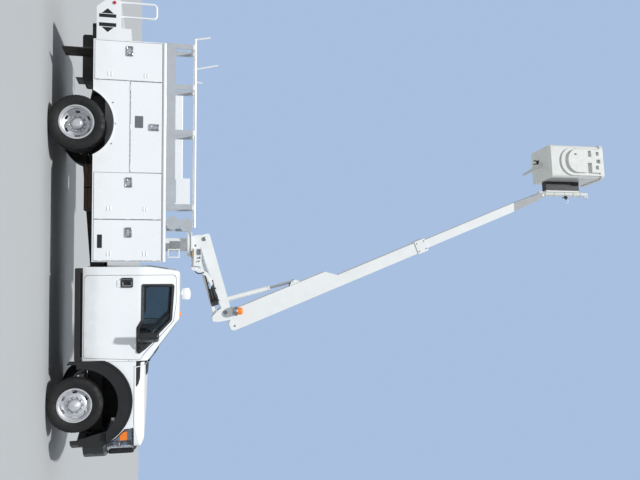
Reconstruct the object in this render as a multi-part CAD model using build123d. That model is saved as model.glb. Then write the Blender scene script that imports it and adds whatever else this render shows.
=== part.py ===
from build123d import *
import os
from math import atan2, cos, degrees, hypot, radians, sin, tan

os.makedirs("parts", exist_ok=True)

# A bucket truck: a cab and chassis with a service body and a jointed telescopic boom.
# Millimetres. X forward, Y left, Z up. X is measured from the rear axle and moved to the
# middle of the truck when a part is written. The boom is posed as in the photograph.
WHEELBASE = 4186
MID_X = 1665

# Wheels
TYRE_R = 405
TYRE_WIDTH = 226
RIM_R = 260
RIM_SEAT_R = 245
FRONT_WHEEL_Y = 950
DUAL_OUTER_Y = 1069
DUAL_INNER_Y = 811
DUAL_FACE_Y = 940
KINGPIN_Y = 790
KINGPIN_R = 18
SPINDLE_R = 40
LUGS = 10
LUG_CIRCLE_R = 112
HAND_HOLES = 6
PIN_GAP = 0.5
SEAM = 6

# Frame
RAIL_OUT_Y = 430
RAIL_FLANGE = 78
RAIL_Z = (560, 760)
RAIL_WALL = 9
FRAME_X = (-1700, 4700)
SUBFRAME_TOP = 970

# Cab
CAB_BACK = 2142
FIREWALL = 3560
CAB_HALF = 1014
CAB_WALL = 45
ROCKER_Z = 503
CAB_FLOOR_Z = (775, 800)
BELT_Z = 1340
DOOR_BOTTOM = 518
DOOR_BACK = 2264
DOOR_FRONT_LOW = 3502
DOOR_FRONT_HIGH = 3548
DOOR_HINGE = (3552, 1018)
MIRROR_TURN = 22

# Front body
NOSE_X = 5045
SHELL = 30
ARCH_X = 4190
ARCH_Z = 494
ARCH_CUT_R = 610
LINER_R = 600
FLARE_IN_R = 538
FLARE_OUT = (4163, 560)
FLARE_OUT_R = 678
FLARE_Y = 1072
BUMPER_BOW_R = 2000
BUMPER_FRONT = 5159
BUMPER_TOP = 850

# Service body
BODY_X = (-1243, 2065)
BODY_HALF = 1194
BODY_Z = (640, 1700)
PACK_INNER_Y = 694
BODY_WALL = 24
DOOR_TOP_Z = 1640
SHELF_SPLIT_Z = 1170
REAR_ARCH_R = 533
FLOOR_TOP = 1000
SHELF_X = -1845
SHELF_Z = (680, 1032)

# Body door table: name, back x, front x, bottom z, top z
BODY_DOORS = [
    ("rear", -1231, -640, 655, DOOR_TOP_Z),
    ("upper", -640, 735, SHELF_SPLIT_Z, DOOR_TOP_Z),
    ("middle", 735, 1435, 655, DOOR_TOP_Z),
    ("front", 1435, 2053, 655, DOOR_TOP_Z),
]

# Lift gear, in the plane of the boom: pin centres as x, z
TURN_X = 1783
TURN_Z = 2122
ARM_FOOT = (1690, 2345)
ARM_HEAD = (2920, 2700)
LINK_FOOT = (1800, 2205)
LINK_HEAD = (3030, 2560)
BOOM_PIN = (2918, 2890)
BOOM_TILT = 21.8
LIFT_LOW = (2706, 2732)
LIFT_HIGH = (2408, 3889)
ARM_JACK_LOW = (1735, 2196)
ARM_JACK_HIGH = (2408, 2436)
ARM_HALF = 95
ARM_WALL = 12
CHEEK = (105, 122)
LINK_Y = (60, 74)

# Boom sections, along the boom from its pin and across from its centre line
BOOM_AXIS = -182
EYE_SLOT = 43.5
BOOM_DEPTH = 198
BOOM_HALF = 92
ROOT_DEPTH = 140
TAIL = 185
BUMP = 1740
COLLAR = (3400, 3600)
INNER_DEPTH = 152
INNER_HALF = 68
TIP_PIN = 6130

# Bucket
BUCKET = (620, 700)
BUCKET_HIGH = 1067
BUCKET_X = 236
BUCKET_Z = 8660
BUCKET_YAW = -7
BUCKET_WALL = 12
BUCKET_LIP = 22
COLUMN_X = 777
COLUMN_TOP = 9619
COLUMN_R = 30
SLEEVE_Z = (8716, 9480)
SLEEVE_R = 46


def save(name, shape):
    """Move a part to the middle of the truck and write it."""
    solids = (Pos(-MID_X, 0, 0) * shape).solids()
    export_step(Compound(solids) if len(solids) > 1 else solids[0], f"parts/{name}.step")


def block(x, y, z):
    """A box between three (low, high) pairs."""
    centre = [(low + high) / 2 for low, high in (x, y, z)]
    return Pos(*centre) * Box(x[1] - x[0], y[1] - y[0], z[1] - z[0])


def inset_box(x, z, wall, y):
    """A box drawn in by a wall on its four sides in side view."""
    return block((x[0] + wall, x[1] - wall), y, (z[0] + wall, z[1] - wall))


def outline(corners):
    """A closed face from (across, up, radius) corners; the radius rounds the corner."""
    trims = []
    for i, (a, b, r) in enumerate(corners):
        here = Vector(a, b)
        back = (Vector(*corners[i - 1][:2]) - here).normalized()
        ahead = (Vector(*corners[(i + 1) % len(corners)][:2]) - here).normalized()
        half = radians(back.get_angle(ahead) / 2)
        if not r:
            trims.append((here, here, here))
            continue
        middle = (back + ahead).normalized() * (r / sin(half) - r)
        trim = r / tan(half)
        trims.append((here + back * trim, here + middle, here + ahead * trim))
    edges = []
    for i, (start, middle, end) in enumerate(trims):
        before = trims[i - 1][2]
        if (before - start).length > 0.01:
            edges.append(Line(before, start))
        if start != end:
            edges.append(ThreePointArc(start, middle, end))
    return make_face(edges)


def sharp(points, r=0):
    """The same radius at every corner."""
    return outline([(a, b, r) for a, b in points])


def side(face, y0, y1):
    """A side view face, x and z, made solid between two y values."""
    return Pos(0, y1, 0) * extrude(Plane.XZ * face, amount=y1 - y0)


def front(face, x0, x1):
    """A front view face, y and z, made solid between two x values."""
    return Pos(x0, 0, 0) * extrude(Plane.YZ * face, amount=x1 - x0)


def plan(face, z0, z1):
    """A plan face, x and y, made solid between two z values."""
    return Pos(0, 0, z0) * extrude(face, amount=z1 - z0)


def pin(centre, r, y0, y1):
    """A round bar along y at an (x, z) centre."""
    return Pos(centre[0], (y0 + y1) / 2, centre[1]) * Rot(90, 0, 0) * Cylinder(r, y1 - y0)


def rod(start, end, r):
    """A round bar between two points."""
    a, b = Vector(*start), Vector(*end)
    return extrude(Plane(a, z_dir=b - a) * Circle(r), amount=(b - a).length)


def both(shape):
    """A part and its twin on the other side."""
    return shape + mirror(shape, Plane.XZ)


def twins(name, left):
    """Write a left part and its mirrored right part."""
    save(f"{name}_left", left)
    save(f"{name}_right", mirror(left, Plane.XZ))


# Tyres and rims, made about the y axis with outboard as +y

def tyre(y):
    """A tyre with three grooves, its centre at y."""
    half = TYRE_WIDTH / 2
    bead = half - 31
    section = outline([
        (RIM_SEAT_R + 1, -bead, 0), (RIM_SEAT_R + 1, bead, 0), (RIM_R + 2, bead, 0),
        (RIM_R + 8, half - 12, 4),
        (330, half, 40), (TYRE_R - 22, half - 8, 12), (TYRE_R, half - 30, 8), (TYRE_R, -half + 30, 8),
        (TYRE_R - 22, -half + 8, 12), (330, -half, 40), (RIM_R + 8, -half + 12, 4), (RIM_R + 2, -bead, 0),
    ])
    grooves = [Pos(TYRE_R, offset) * Rectangle(16, 8) for offset in (-42, 0, 42)]
    for groove in grooves:
        section -= groove
    return Pos(0, y, 0) * revolve(section, Axis.Y)


def rim(y, face_y, cone, edge_r):
    """A wheel rim at y: its mounting disc is at face_y, dished by cone, and meets the rim at edge_r."""
    half = TYRE_WIDTH / 2 - 20
    well = outline([
        (RIM_SEAT_R - 9, y - half - 2, 0), (RIM_R, y - half - 2, 3), (RIM_R, y - half + 6, 3),
        (RIM_SEAT_R, y - half + 9, 0), (RIM_SEAT_R, y - 50, 0), (RIM_SEAT_R - 22, y - 30, 0),
        (RIM_SEAT_R - 22, y + 30, 0), (RIM_SEAT_R, y + 50, 0), (RIM_SEAT_R, y + half - 9, 0),
        (RIM_R, y + half - 6, 3), (RIM_R, y + half + 2, 3), (RIM_SEAT_R - 9, y + half + 2, 0),
        (RIM_SEAT_R - 9, y + 54, 0), (RIM_SEAT_R - 31, y + 34, 0), (RIM_SEAT_R - 31, y - 34, 0),
        (RIM_SEAT_R - 9, y - 54, 0),
    ])
    disc = outline([
        (60, face_y, 0), (150, face_y, 12), (edge_r, face_y + 44 * cone, 0),
        (edge_r, face_y + 60 * cone, 0), (162, face_y + 14 * cone, 12), (60, face_y + 12 * cone, 0),
    ])
    wheel = revolve(well, Axis.Y)
    plate = revolve(disc, Axis.Y)
    slot = extrude(SlotOverall(70, 32, rotation=90), amount=90, both=True)
    hole = Pos(186, face_y, 0) * Rot(90, 0, 0) * slot
    plate -= [Rot(0, 360 / HAND_HOLES * i, 0) * hole for i in range(HAND_HOLES)]
    return wheel + plate


def lugs(face_y, reach):
    """A ring of wheel nuts on a mounting face."""
    ring = []
    for i in range(LUGS):
        spot = Pos(LUG_CIRCLE_R, face_y, 0) * Rot(-90, 0, 0) * extrude(RegularPolygon(15, 6), amount=reach)
        ring.append(Rot(0, 360 / LUGS * i, 0) * spot)
    return ring


def front_rim():
    """The front wheel: a domed hub outboard of a shallow disc."""
    y = FRONT_WHEEL_Y
    face = y + 58
    hub = revolve(outline([
        (SPINDLE_R + PIN_GAP, KINGPIN_Y + 74, 0), (100, KINGPIN_Y + 74, 0), (100, y - 20, 8), (80, y, 0),
        (80, face + 50, 0), (60, face + 84, 18), (0, face + 84, 0), (0, face + 60, 0),
        (SPINDLE_R + PIN_GAP, face + 60, 0),
    ]), Axis.Y)
    return rim(y, face, -1, RIM_SEAT_R - 26) + [hub, *lugs(face, 32)]


def rear_rims():
    """Twin wheels bolted back to back on one drum and hub."""
    hub = revolve(outline([
        (SPINDLE_R + PIN_GAP, 716, 0), (200, 716, 0), (200, 860, 6), (95, 880, 0), (95, DUAL_FACE_Y, 0),
        (80, DUAL_FACE_Y + 12, 0), (80, DUAL_FACE_Y + 120, 0), (52, DUAL_FACE_Y + 150, 16),
        (0, DUAL_FACE_Y + 150, 0), (0, DUAL_FACE_Y + 90, 0), (SPINDLE_R + PIN_GAP, DUAL_FACE_Y + 90, 0),
    ]), Axis.Y)
    outer = rim(DUAL_OUTER_Y, DUAL_FACE_Y, 1, RIM_SEAT_R - 7)
    inner = rim(DUAL_INNER_Y, DUAL_FACE_Y, -1, RIM_SEAT_R - 7)
    return outer + [inner, hub, *lugs(DUAL_FACE_Y + 11, 30)]


FRONT_AXLE = Pos(WHEELBASE, 0, TYRE_R)
REAR_AXLE = Pos(0, 0, TYRE_R)
twins("tyre_front", FRONT_AXLE * tyre(FRONT_WHEEL_Y))
twins("rim_front", FRONT_AXLE * front_rim())
twins("tyres_rear", REAR_AXLE * (tyre(DUAL_OUTER_Y) + tyre(DUAL_INNER_Y)))
twins("rims_rear", REAR_AXLE * rear_rims())


# Axles and knuckles

def leaf_spring(x, y, z, half_length, lift):
    """A pack of leaves under a rail: flat at the axle and curved up to both eyes."""
    top = z + lift
    pack = sharp([(x - half_length, top), (x - 160, z), (x + 160, z), (x + half_length, top),
                  (x + half_length, top - 14), (x + 160, z - 52), (x - 160, z - 52),
                  (x - half_length, top - 14)])
    return side(pack, y - 38, y + 38)


knuckle_x, knuckle_z = (WHEELBASE - 52, WHEELBASE + 52), (TYRE_R - 96, TYRE_R + 96)
slot_x, slot_z = (WHEELBASE - 60, WHEELBASE + 60), (TYRE_R - 52, TYRE_R + 52)
knuckle = block(knuckle_x, (KINGPIN_Y - 42, KINGPIN_Y + 42), knuckle_z)
knuckle -= block(slot_x, (KINGPIN_Y - 60, KINGPIN_Y + 45), slot_z)
knuckle += block(knuckle_x, (KINGPIN_Y + 45, KINGPIN_Y + 66), knuckle_z)
knuckle += block((WHEELBASE - 52, WHEELBASE + 52), (KINGPIN_Y, KINGPIN_Y + 66), (TYRE_R + 52, TYRE_R + 96))
knuckle += block((WHEELBASE - 52, WHEELBASE + 52), (KINGPIN_Y, KINGPIN_Y + 66), (TYRE_R - 96, TYRE_R - 52))
knuckle += Pos(WHEELBASE, KINGPIN_Y, TYRE_R) * Cylinder(KINGPIN_R, 180)
knuckle += pin((WHEELBASE, TYRE_R), SPINDLE_R, KINGPIN_Y + 60, FRONT_WHEEL_Y + 110)
knuckle += pin((WHEELBASE, TYRE_R), 110, KINGPIN_Y + 60, KINGPIN_Y + 69)
twins("knuckle", knuckle)

FRONT_SPRING_Y = 470
beam = side(sharp([(WHEELBASE - 45, TYRE_R - 45), (WHEELBASE + 45, TYRE_R - 45),
                   (WHEELBASE + 45, TYRE_R + 45), (WHEELBASE - 45, TYRE_R + 45)], 12), -KINGPIN_Y, KINGPIN_Y)
beam += both(Pos(WHEELBASE, KINGPIN_Y, TYRE_R) * Cylinder(45, 90))
beam -= both(Pos(WHEELBASE, KINGPIN_Y, TYRE_R) * Cylinder(KINGPIN_R + PIN_GAP, 120))
beam += both(leaf_spring(WHEELBASE, FRONT_SPRING_Y, TYRE_R + 96, 560, 40))
beam += both(block((WHEELBASE - 60, WHEELBASE + 60), (FRONT_SPRING_Y - 45, FRONT_SPRING_Y + 45),
                   (TYRE_R - 60, TYRE_R + 46)))
for x in (WHEELBASE - 545, WHEELBASE + 545):
    beam += both(block((x - 25, x + 25), (RAIL_OUT_Y, FRONT_SPRING_Y + 42), (TYRE_R + 120, 640)))
save("front_axle", beam)

REAR_SPRING_Y = 520
axle = pin((0, TYRE_R), 68, -706, 706)
axle += pin((0, TYRE_R), SPINDLE_R, -(DUAL_FACE_Y + 85), DUAL_FACE_Y + 85)
axle += both(pin((0, TYRE_R), 140, 694, 708))
axle += Pos(0, 0, TYRE_R) * scale(Sphere(190), (1, 0.85, 1))
axle += Pos(150, 0, TYRE_R) * Rot(0, 90, 0) * Cone(120, 60, 200)
axle += both(leaf_spring(0, REAR_SPRING_Y, TYRE_R + 124, 620, 60))
axle += both(block((-90, 90), (REAR_SPRING_Y - 42, REAR_SPRING_Y + 42), (TYRE_R - 80, TYRE_R + 74)))
for x in (-600, 600):
    axle += both(block((x - 28, x + 28), (RAIL_OUT_Y, REAR_SPRING_Y + 40), (TYRE_R + 170, 700)))
GEARBOX_OUT = (2880, 620)
axle += rod((230, 0, TYRE_R + 10), (GEARBOX_OUT[0] - 8, 0, GEARBOX_OUT[1]), 45)
save("rear_axle", axle)

# Engine and gearbox as plain blocks
engine = side(sharp([(3640, 520), (4560, 520), (4560, 1180), (4440, 1260), (3720, 1260), (3640, 1180)]),
              -265, 265)
gearbox = Pos((GEARBOX_OUT[0] + 3640) / 2, 0, 620) * Rot(0, 90, 0) * Cone(90, 190, 3640 - GEARBOX_OUT[0])
save("engine_block", engine + gearbox - block((2800, 3645), (-400, 400), (760, 1300)))


# Frame

def channel(y_out, hand):
    """One frame rail: a channel open toward the middle."""
    y_in = y_out - hand * RAIL_FLANGE
    low, high = sorted((y_out, y_in))
    rail = block(FRAME_X, (low, high), RAIL_Z)
    inside = sorted((y_out - hand * RAIL_WALL, y_in - hand))
    hollow_z = (RAIL_Z[0] + RAIL_WALL, RAIL_Z[1] - RAIL_WALL)
    return rail - block((FRAME_X[0] - 5, FRAME_X[1] + 5), inside, hollow_z)


frame = channel(RAIL_OUT_Y, 1) + channel(-RAIL_OUT_Y, -1)
for x in (-1660, -760, 700, 1700, 2700):
    frame += block((x - 40, x + 40), (-RAIL_OUT_Y + 5, RAIL_OUT_Y - 5), (668, 748))
frame += block((4640, 4700), (-RAIL_OUT_Y, RAIL_OUT_Y), (600, 740))
TANK = side(sharp([(-1560, 400), (-820, 400), (-820, 630), (-1560, 630)], 40), -300, 300)
frame += TANK
frame += block((-1240, -1140), (-RAIL_OUT_Y + 5, RAIL_OUT_Y - 5), (600, 660))
HITCH_X = -1712
HITCH_HOLES = [(y, z) for y in (-42.85, 42.85) for z in (607.75, 652.25)]
hitch = block((HITCH_X, FRAME_X[0] + 10), (-RAIL_OUT_Y, RAIL_OUT_Y), (565, 735))
for y, z in HITCH_HOLES:
    hitch -= Pos(HITCH_X, y, z) * Rot(0, 90, 0) * Cylinder(7, 60)
frame += hitch
save("frame_rails", frame)

# Cargo floor on its subframe
floor = block((BODY_X[0], BODY_X[1]), (-PACK_INNER_Y, PACK_INNER_Y), (SUBFRAME_TOP, FLOOR_TOP))
sill_y = (RAIL_OUT_Y - RAIL_FLANGE, RAIL_OUT_Y)
floor += both(block((FRAME_X[0], BODY_X[1]), sill_y, (RAIL_Z[1], SUBFRAME_TOP + 5)))
for x in (-1150, -700, 620, 1100, 1560, 2030):
    floor += block((x - 30, x + 30), (-PACK_INNER_Y, PACK_INNER_Y), (SUBFRAME_TOP - 60, SUBFRAME_TOP + 5))
save("cargo_floor", floor)


# Cab: a side profile and a front section, both cut to the same inset

def cab_side(inset):
    """The cab's side view with its roof, screen slope and firewall."""
    i = inset
    return outline([
        (CAB_BACK + i, ROCKER_Z + i, 0), (FIREWALL - i, ROCKER_Z + i, 0),
        (FIREWALL - i, SCREEN_FOOT_Z - i, 0),
        (3030 - i, 1910 - i, 120), (2700, 1955 - i, 0), (2500, 1960 - i, 0),
        (2215 + i, 1950 - i, 90), (CAB_BACK + i, 1480, 0),
    ])


def cab_section(inset):
    """The cab's front view: upright to the belt, then leaning in to a crowned roof."""
    i = inset
    low, belt = (985 - i, ROCKER_Z + i), (CAB_HALF - i, BELT_Z)
    roof, crown = (868 - i, 1920 - i), (0, 1962 - i)
    waist = (CAB_HALF - i, 700)
    left = Polyline(*[(-y, z) for y, z in (roof, belt, waist, low)])
    right = Polyline(low, waist, belt, roof)
    top = ThreePointArc(roof, crown, (-roof[0], roof[1]))
    face = make_face([*left.edges(), Line((-low[0], low[1]), low).edge(), *right.edges(), top.edge()])
    face = fillet(face.vertices().sort_by(Axis.Y)[-2:], 70)
    for z, r in ((BELT_Z, 400), (waist[1], 600)):
        face = fillet([v for v in face.vertices() if abs(v.Y - z) < 1], r)
    return face


SCREEN_FOOT_Z = 1518
SCREEN_RUN = 1.352  # how far the windscreen leans back for each unit of height
SCREEN_BOW = 140


def screen_space(inset):
    """The space behind the windscreen, which curves back toward both pillars."""
    foot, height, half = 400, 1700, 1200
    x = FIREWALL - inset + (SCREEN_FOOT_Z - inset - foot) * SCREEN_RUN
    bow = ThreePointArc((x - SCREEN_BOW, -half), (x, 0), (x - SCREEN_BOW, half))
    back = Polyline((x - SCREEN_BOW, half), (2000, half), (2000, -half), (x - SCREEN_BOW, -half))
    face = Pos(0, 0, foot) * make_face([bow.edge(), *back.edges()])
    return extrude(face, amount=height * (1 + SCREEN_RUN ** 2) ** 0.5, dir=(-SCREEN_RUN, 0, 1))


def cab_solid(inset):
    """The whole cab as one solid, drawn in by an inset."""
    return side(cab_side(inset), -1200, 1200) & front(cab_section(inset), 2000, 3800) & screen_space(inset)


def door_face(gap):
    """The door's side view; a gap draws it in on every side."""
    g = gap
    return outline([
        (DOOR_BACK + g, DOOR_BOTTOM + g, 60), (DOOR_FRONT_LOW - g, DOOR_BOTTOM + g, 30),
        (DOOR_FRONT_HIGH - g, BELT_Z, 40), (3462 - g, 1400 - g, 0),
        (2985 - 0.7 * g, 1838 - g, 90), (2700, 1878 - g, 200), (DOOR_BACK + g, 1878 - g, 60),
    ])


def doorway(gap):
    """The door's zone through the cab wall, shallow below the belt and beside the hinge."""
    zone = side(door_face(gap), 780, 1200) - block((2000, 3800), (700, 930), (0, 1290))
    return zone - block((3380, 3800), (700, 940), (1280, 1520))


SIDE_WINDOW = outline([
    (2408, 1360, 25), (2950, 1356, 60), (3063, 1289, 60), (3432, 1292, 25), (3398, 1380, 10),
    (2965, 1806, 60), (2413, 1842, 40),
])

cab_outer = cab_solid(0)
cab_inner = cab_solid(CAB_WALL)
cab = cab_outer - (cab_inner - block((2000, 3800), (-1200, 1200), (0, CAB_FLOOR_Z[1])))
cab -= block((2000, 3800), (-820, 820), (0, CAB_FLOOR_Z[0]))
cab -= block((2300, 3440), (-850, 850), (CAB_FLOOR_Z[1], 900))
cab -= both(doorway(0))
SCREEN = front(outline([(-880, 1545, 60), (880, 1545, 60), (790, 1872, 60), (-790, 1872, 60)]), 3000, 3800)
REAR_WINDOW = front(sharp([(-600, 1420), (600, 1420), (560, 1760), (-560, 1760)], 60), 2000, 2500)
cab -= SCREEN + REAR_WINDOW
LAMP_SPOT = (2575, -500)
lamp = Pos(*LAMP_SPOT, 1970) * Cylinder(42, 90) + Pos(*LAMP_SPOT, 2036) * Rot(0, 84, 0) * Cone(62, 50, 170)
cab += lamp - cab_outer
for z in (830, 1210):
    cab += both(Pos(*DOOR_HINGE, z) * Cylinder(7, 60))
save("cab_shell", cab)

glass_band = cab_solid(14) - cab_solid(22)
save("cab_glass", (glass_band & SCREEN) + (glass_band & REAR_WINDOW))

door = (cab_outer - cab_solid(CAB_WALL + 15)) & doorway(SEAM)
door -= side(SIDE_WINDOW, 700, 1300)
HANDLE_X, HANDLE_Z, HANDLE_BAR = (2312, 2447), (1062, 1222), 22
handle = block(HANDLE_X, (985, CAB_HALF + HANDLE_BAR), HANDLE_Z)
door += handle - inset_box(HANDLE_X, HANDLE_Z, HANDLE_BAR, (CAB_HALF - 4, CAB_HALF + 40))
twins("door", door)
twins("door_glass", (cab_solid(24) - cab_solid(30)) & side(SIDE_WINDOW, 700, 1300))

mirror_head = front(sharp([(-10, 1306), (220, 1306), (220, 1618), (-10, 1618)], 36), -100, 0)
mirror_head = Pos(3285, 1118, 0) * Rot(0, 0, MIRROR_TURN) * mirror_head
mirror_arm = side(outline([(3240, 1292, 20), (3440, 1288, 20), (3458, 1330, 20), (3395, 1420, 30),
                           (3262, 1566, 20), (3225, 1556, 20)]), 950, 1110)
twins("mirror", mirror_head + (mirror_arm - cab_outer))

# Seats, dashboard and steering wheel
seat = side(outline([(2380, 800, 20), (2900, 800, 20), (2930, 1080, 60), (2560, 1110, 30), (2420, 1560, 40),
                     (2300, 1560, 40), (2330, 1000, 30)]), -800, 800)
dash = side(outline([(3330, 960, 40), (3500, 960, 0), (3500, 1380, 20), (3320, 1370, 50), (3270, 1180, 40)]),
            -860, 860)
WHEEL_AT = (3130, 400, 1290)
steering = Pos(*WHEEL_AT) * Rot(0, -62, 0) * Torus(190, 16)
steering += Pos(*WHEEL_AT) * Rot(0, -62, 0) * (Cylinder(45, 30) + Box(30, 370, 14) + Box(370, 30, 14))
column = rod(WHEEL_AT, (3350, 400, 1172), 26)
save("cab_interior", seat + dash + steering + column)


# Front body: fenders, cowl and hood from one shell split along the hood seam

COWL_Z = 1452


def front_side(inset):
    """The front body's side view."""
    i = inset
    return outline([
        (FIREWALL + 4, ROCKER_Z, 0), (NOSE_X - i, ROCKER_Z, 0), (NOSE_X - i, 1210 - i, 0),
        (5022 - i, 1264 - i, 40), (4765 - i, 1406 - i, 250), (4383, 1428 - i, 600), (3652, COWL_Z - i, 0),
        (FIREWALL + 4, COWL_Z - i, 0),
    ])


def front_plan(inset):
    """The front body's plan view, rounded at both front corners."""
    i = inset
    half = [(FIREWALL + 4, CAB_HALF - i, 0), (4560, CAB_HALF - i, 700), (4850 - i, 925 - i, 90),
            (4995 - i, 600, 200), (NOSE_X - i, 250, 200)]
    return outline(half + [(x, -y, r) for x, y, r in reversed(half)])


def front_solid(inset):
    """The front body, crowned across and creased along the top of each fender."""
    crease, edge, crown = (1040 - inset, 1255 - inset), (835 - inset, 1402 - inset), (0, 1466 - inset)
    low = (1040 - inset, 300)
    right = Polyline(low, crease, edge)
    left = Polyline((-edge[0], edge[1]), (-crease[0], crease[1]), (-low[0], low[1]))
    top = ThreePointArc(edge, crown, (-edge[0], edge[1]))
    face = make_face([*right.edges(), top.edge(), *left.edges(), Line((-low[0], low[1]), low).edge()])
    body = side(front_side(inset), -1200, 1200) & front(face, 3500, 5200)
    return body & plan(front_plan(inset), 400, 1600)


HOOD_SEAM = [(3500, 1257), (5200, 1257), (5200, 1700), (3500, 1700)]
front_outer = front_solid(0)
shell = front_outer - front_solid(SHELL) - block((3400, 3600), (-960, 960), (0, 1440))
over_seam = side(sharp(HOOD_SEAM), -1200, 1200)
HOOD_HINGE = (3652, COWL_Z)
hood_zone = over_seam & block((HOOD_HINGE[0] - 2, 5200), (-1200, 1200), (0, 2000))
seam_zone = Pos(0, 0, -SEAM) * over_seam + Pos(SEAM, 0, -SEAM) * over_seam
seam_zone &= block((HOOD_HINGE[0] - 10, 5200), (-1300, 1300), (0, 2000))
arch = both(side(Pos(ARCH_X, ARCH_Z) * Circle(ARCH_CUT_R), 700, 1300))
low_front = block((4590, 5200), (-1200, 1200), (400, BUMPER_TOP + 12))
low_front += block((4710, 5200), (-900, 900), (400, 1300))
clip = shell - seam_zone - arch - low_front - block((3400, 5200), (-930, 930), (400, 700))
GRILLE_Z = (858, 1262)
clip -= both(side(sharp([(4560, 1262), (5200, 1262), (5200, 850), (4795, 850), (4718, 987), (4579, 1122)]),
                  560, 1200))
clip += block((4640, 4700), (-640, 640), (870, 1160)) - block((4630, 4710), (-560, 560), (920, 1100))
clip += both(block((4530, 4565), (600, 990), (1100, 1140)) + block((4530, 4700), (600, 640), (1100, 1140)))


def brow(gap):
    """The dark strip across the nose under the hood's leading edge, higher toward the lamps."""
    g = gap
    face = sharp([(-900, 1200), (900, 1200), (900, 1306 - g), (560, 1264 - g), (-560, 1264 - g),
                  (-900, 1306 - g)])
    return front(face, 4858 + g, 5200)


save("hood", (shell & hood_zone) - brow(0) + both(pin(HOOD_HINGE, 6, 300, 360)))

lamp_face = sharp([(4570, 1250), (5200, 1250), (5200, 858), (4805, 858), (4728, 995), (4588, 1130)])
lamp_body = (front_solid(3) - front_solid(60)) & both(side(lamp_face, 606, 1200))
save("headlamps", lamp_body)

grille_zone = block((4890, 5200), (-595, 595), (GRILLE_Z[0] + 5, GRILLE_Z[1] - 9))
grille = (front_solid(-12) - front_solid(40)) & grille_zone
for z in (930, 1010, 1090, 1170):
    grille -= block((4880, 5200), (-540, 540), (z - 25, z + 25))
grille += (front_solid(15) - front_solid(40)) & grille_zone & block((4880, 5200), (-30, 30), (800, 1300))
grille += (front_solid(3) - front_solid(40)) & brow(SEAM) & block((4800, 5200), (-900, 900), (1252, 1400))
save("grille", grille)

stays = both(block((4690, 4760), (600, 925), (1120, 1150)) + block((4690, 5000), (562, 590), (1036, 1064)))
save("front_clip", clip + (stays - lamp_body - grille))

# Fender flares with a stepped lip, and a liner over each front wheel

def arch_ring(outer, y0, y1):
    """A face less the front wheel arch's circle, made solid between two y values."""
    return side(outer - Pos(ARCH_X, ARCH_Z) * Circle(FLARE_IN_R), y0, y1)


def flare_face(lip):
    """The flare's outer edge: a circle that runs straight down behind the wheel."""
    x, z = FLARE_OUT
    r = FLARE_OUT_R - lip
    return Pos(x, z) * Circle(r) + Pos(x - r / 2, z - 100) * Rectangle(r, 200)


flare = arch_ring(flare_face(0), 900, 1040) + arch_ring(flare_face(45), 900, FLARE_Y)
above_bumper = block((3540, 4870), (600, 1100), (430, 1300))
above_bumper -= block((4400, 5200), (0, 1200), (0, BUMPER_TOP + 9))
flare = (flare & above_bumper) - front_outer - block((3000, FIREWALL + 2), (0, CAB_HALF + 2), (0, 1400))
flare -= block((3530, FIREWALL + 2), (1000, 1031), (792, 868))
liner = side(Pos(ARCH_X, ARCH_Z) * (Circle(LINER_R + 8) - Circle(LINER_R)), 700, CAB_HALF + 12)
liner = (liner & above_bumper) - front_outer
flap = block((3584, 3596), (700, 1030), (290, 560)) + block((3584, 3640), (1016, 1030), (430, 560))
save("fender_flares", both(flare + liner + flap))


# Front bumper: an upper bar and a lower air dam, both bowed in plan

def bumper_plan(front_x, half, back_x, corner):
    """A plan face with a bowed front, cut corners and straight sides back to back_x."""
    bow = front_x - BUMPER_BOW_R
    edge_x = bow + (BUMPER_BOW_R ** 2 - (half - corner) ** 2) ** 0.5
    arc = ThreePointArc((edge_x, -(half - corner)), (front_x, 0), (edge_x, half - corner))
    turn_l = Line((edge_x, half - corner), (edge_x - corner, half))
    turn_r = Line((edge_x - corner, -half), (edge_x, -(half - corner)))
    sides = [Line((edge_x - corner, half), (back_x, half)), Line((back_x, half), (back_x, -half)),
             Line((back_x, -half), (edge_x - corner, -half))]
    return make_face([arc, turn_l, *sides, turn_r])


bar = plan(bumper_plan(BUMPER_FRONT, 1005, 4590, 120), 520, BUMPER_TOP)
bar = chamfer(bar.faces().sort_by(Axis.Z)[-1].edges().filter_by(lambda e: e.center().X > 4850), 35)
bar -= plan(bumper_plan(BUMPER_FRONT - 60, 950, 4500, 120), 400, BUMPER_TOP - 25)
bar -= side(Pos(ARCH_X, ARCH_Z) * Circle(FLARE_IN_R), -1200, 1200)
dam = plan(bumper_plan(BUMPER_FRONT - 150, 930, 4740, 60), 330, 530)
dam -= plan(bumper_plan(BUMPER_FRONT - 180, 900, 4700, 60), 300, 525)
dam -= block((4700, 4764), (-522, 522), (515, 535))
step = plan(bumper_plan(BUMPER_FRONT - 2, 1003, 4765, 120), 520, 530)
step -= plan(bumper_plan(BUMPER_FRONT - 190, 880, 4650, 120), 500, 540)
panel = side(sharp([(4598, 845), (4800, 845), (4800, 462), (4705, 455)]), 978, 1005)
bumper = bar + dam + step + both(panel + block((FRAME_X[1], 5100), (330, 420), (600, 700)))
save("front_bumper", bumper - block((5000, 5200), (-420, 420), (570, 640)))

# Running boards
board = side(sharp([(2160, 395), (3534, 395), (3534, 498), (2160, 498)], 15), 905, 1060)
board -= block((2150, 3560), (930, 1035), (380, 440)) + block((2230, 3475), (960, 1080), (470, 510))
for x in (2420, 3260):
    board += block((x - 25, x + 25), (RAIL_OUT_Y, 935), (465, 498))
    board += block((x - 25, x + 25), (RAIL_OUT_Y, 445), (480, 620))
save("running_boards", both(board))


# Service body packs

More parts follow.
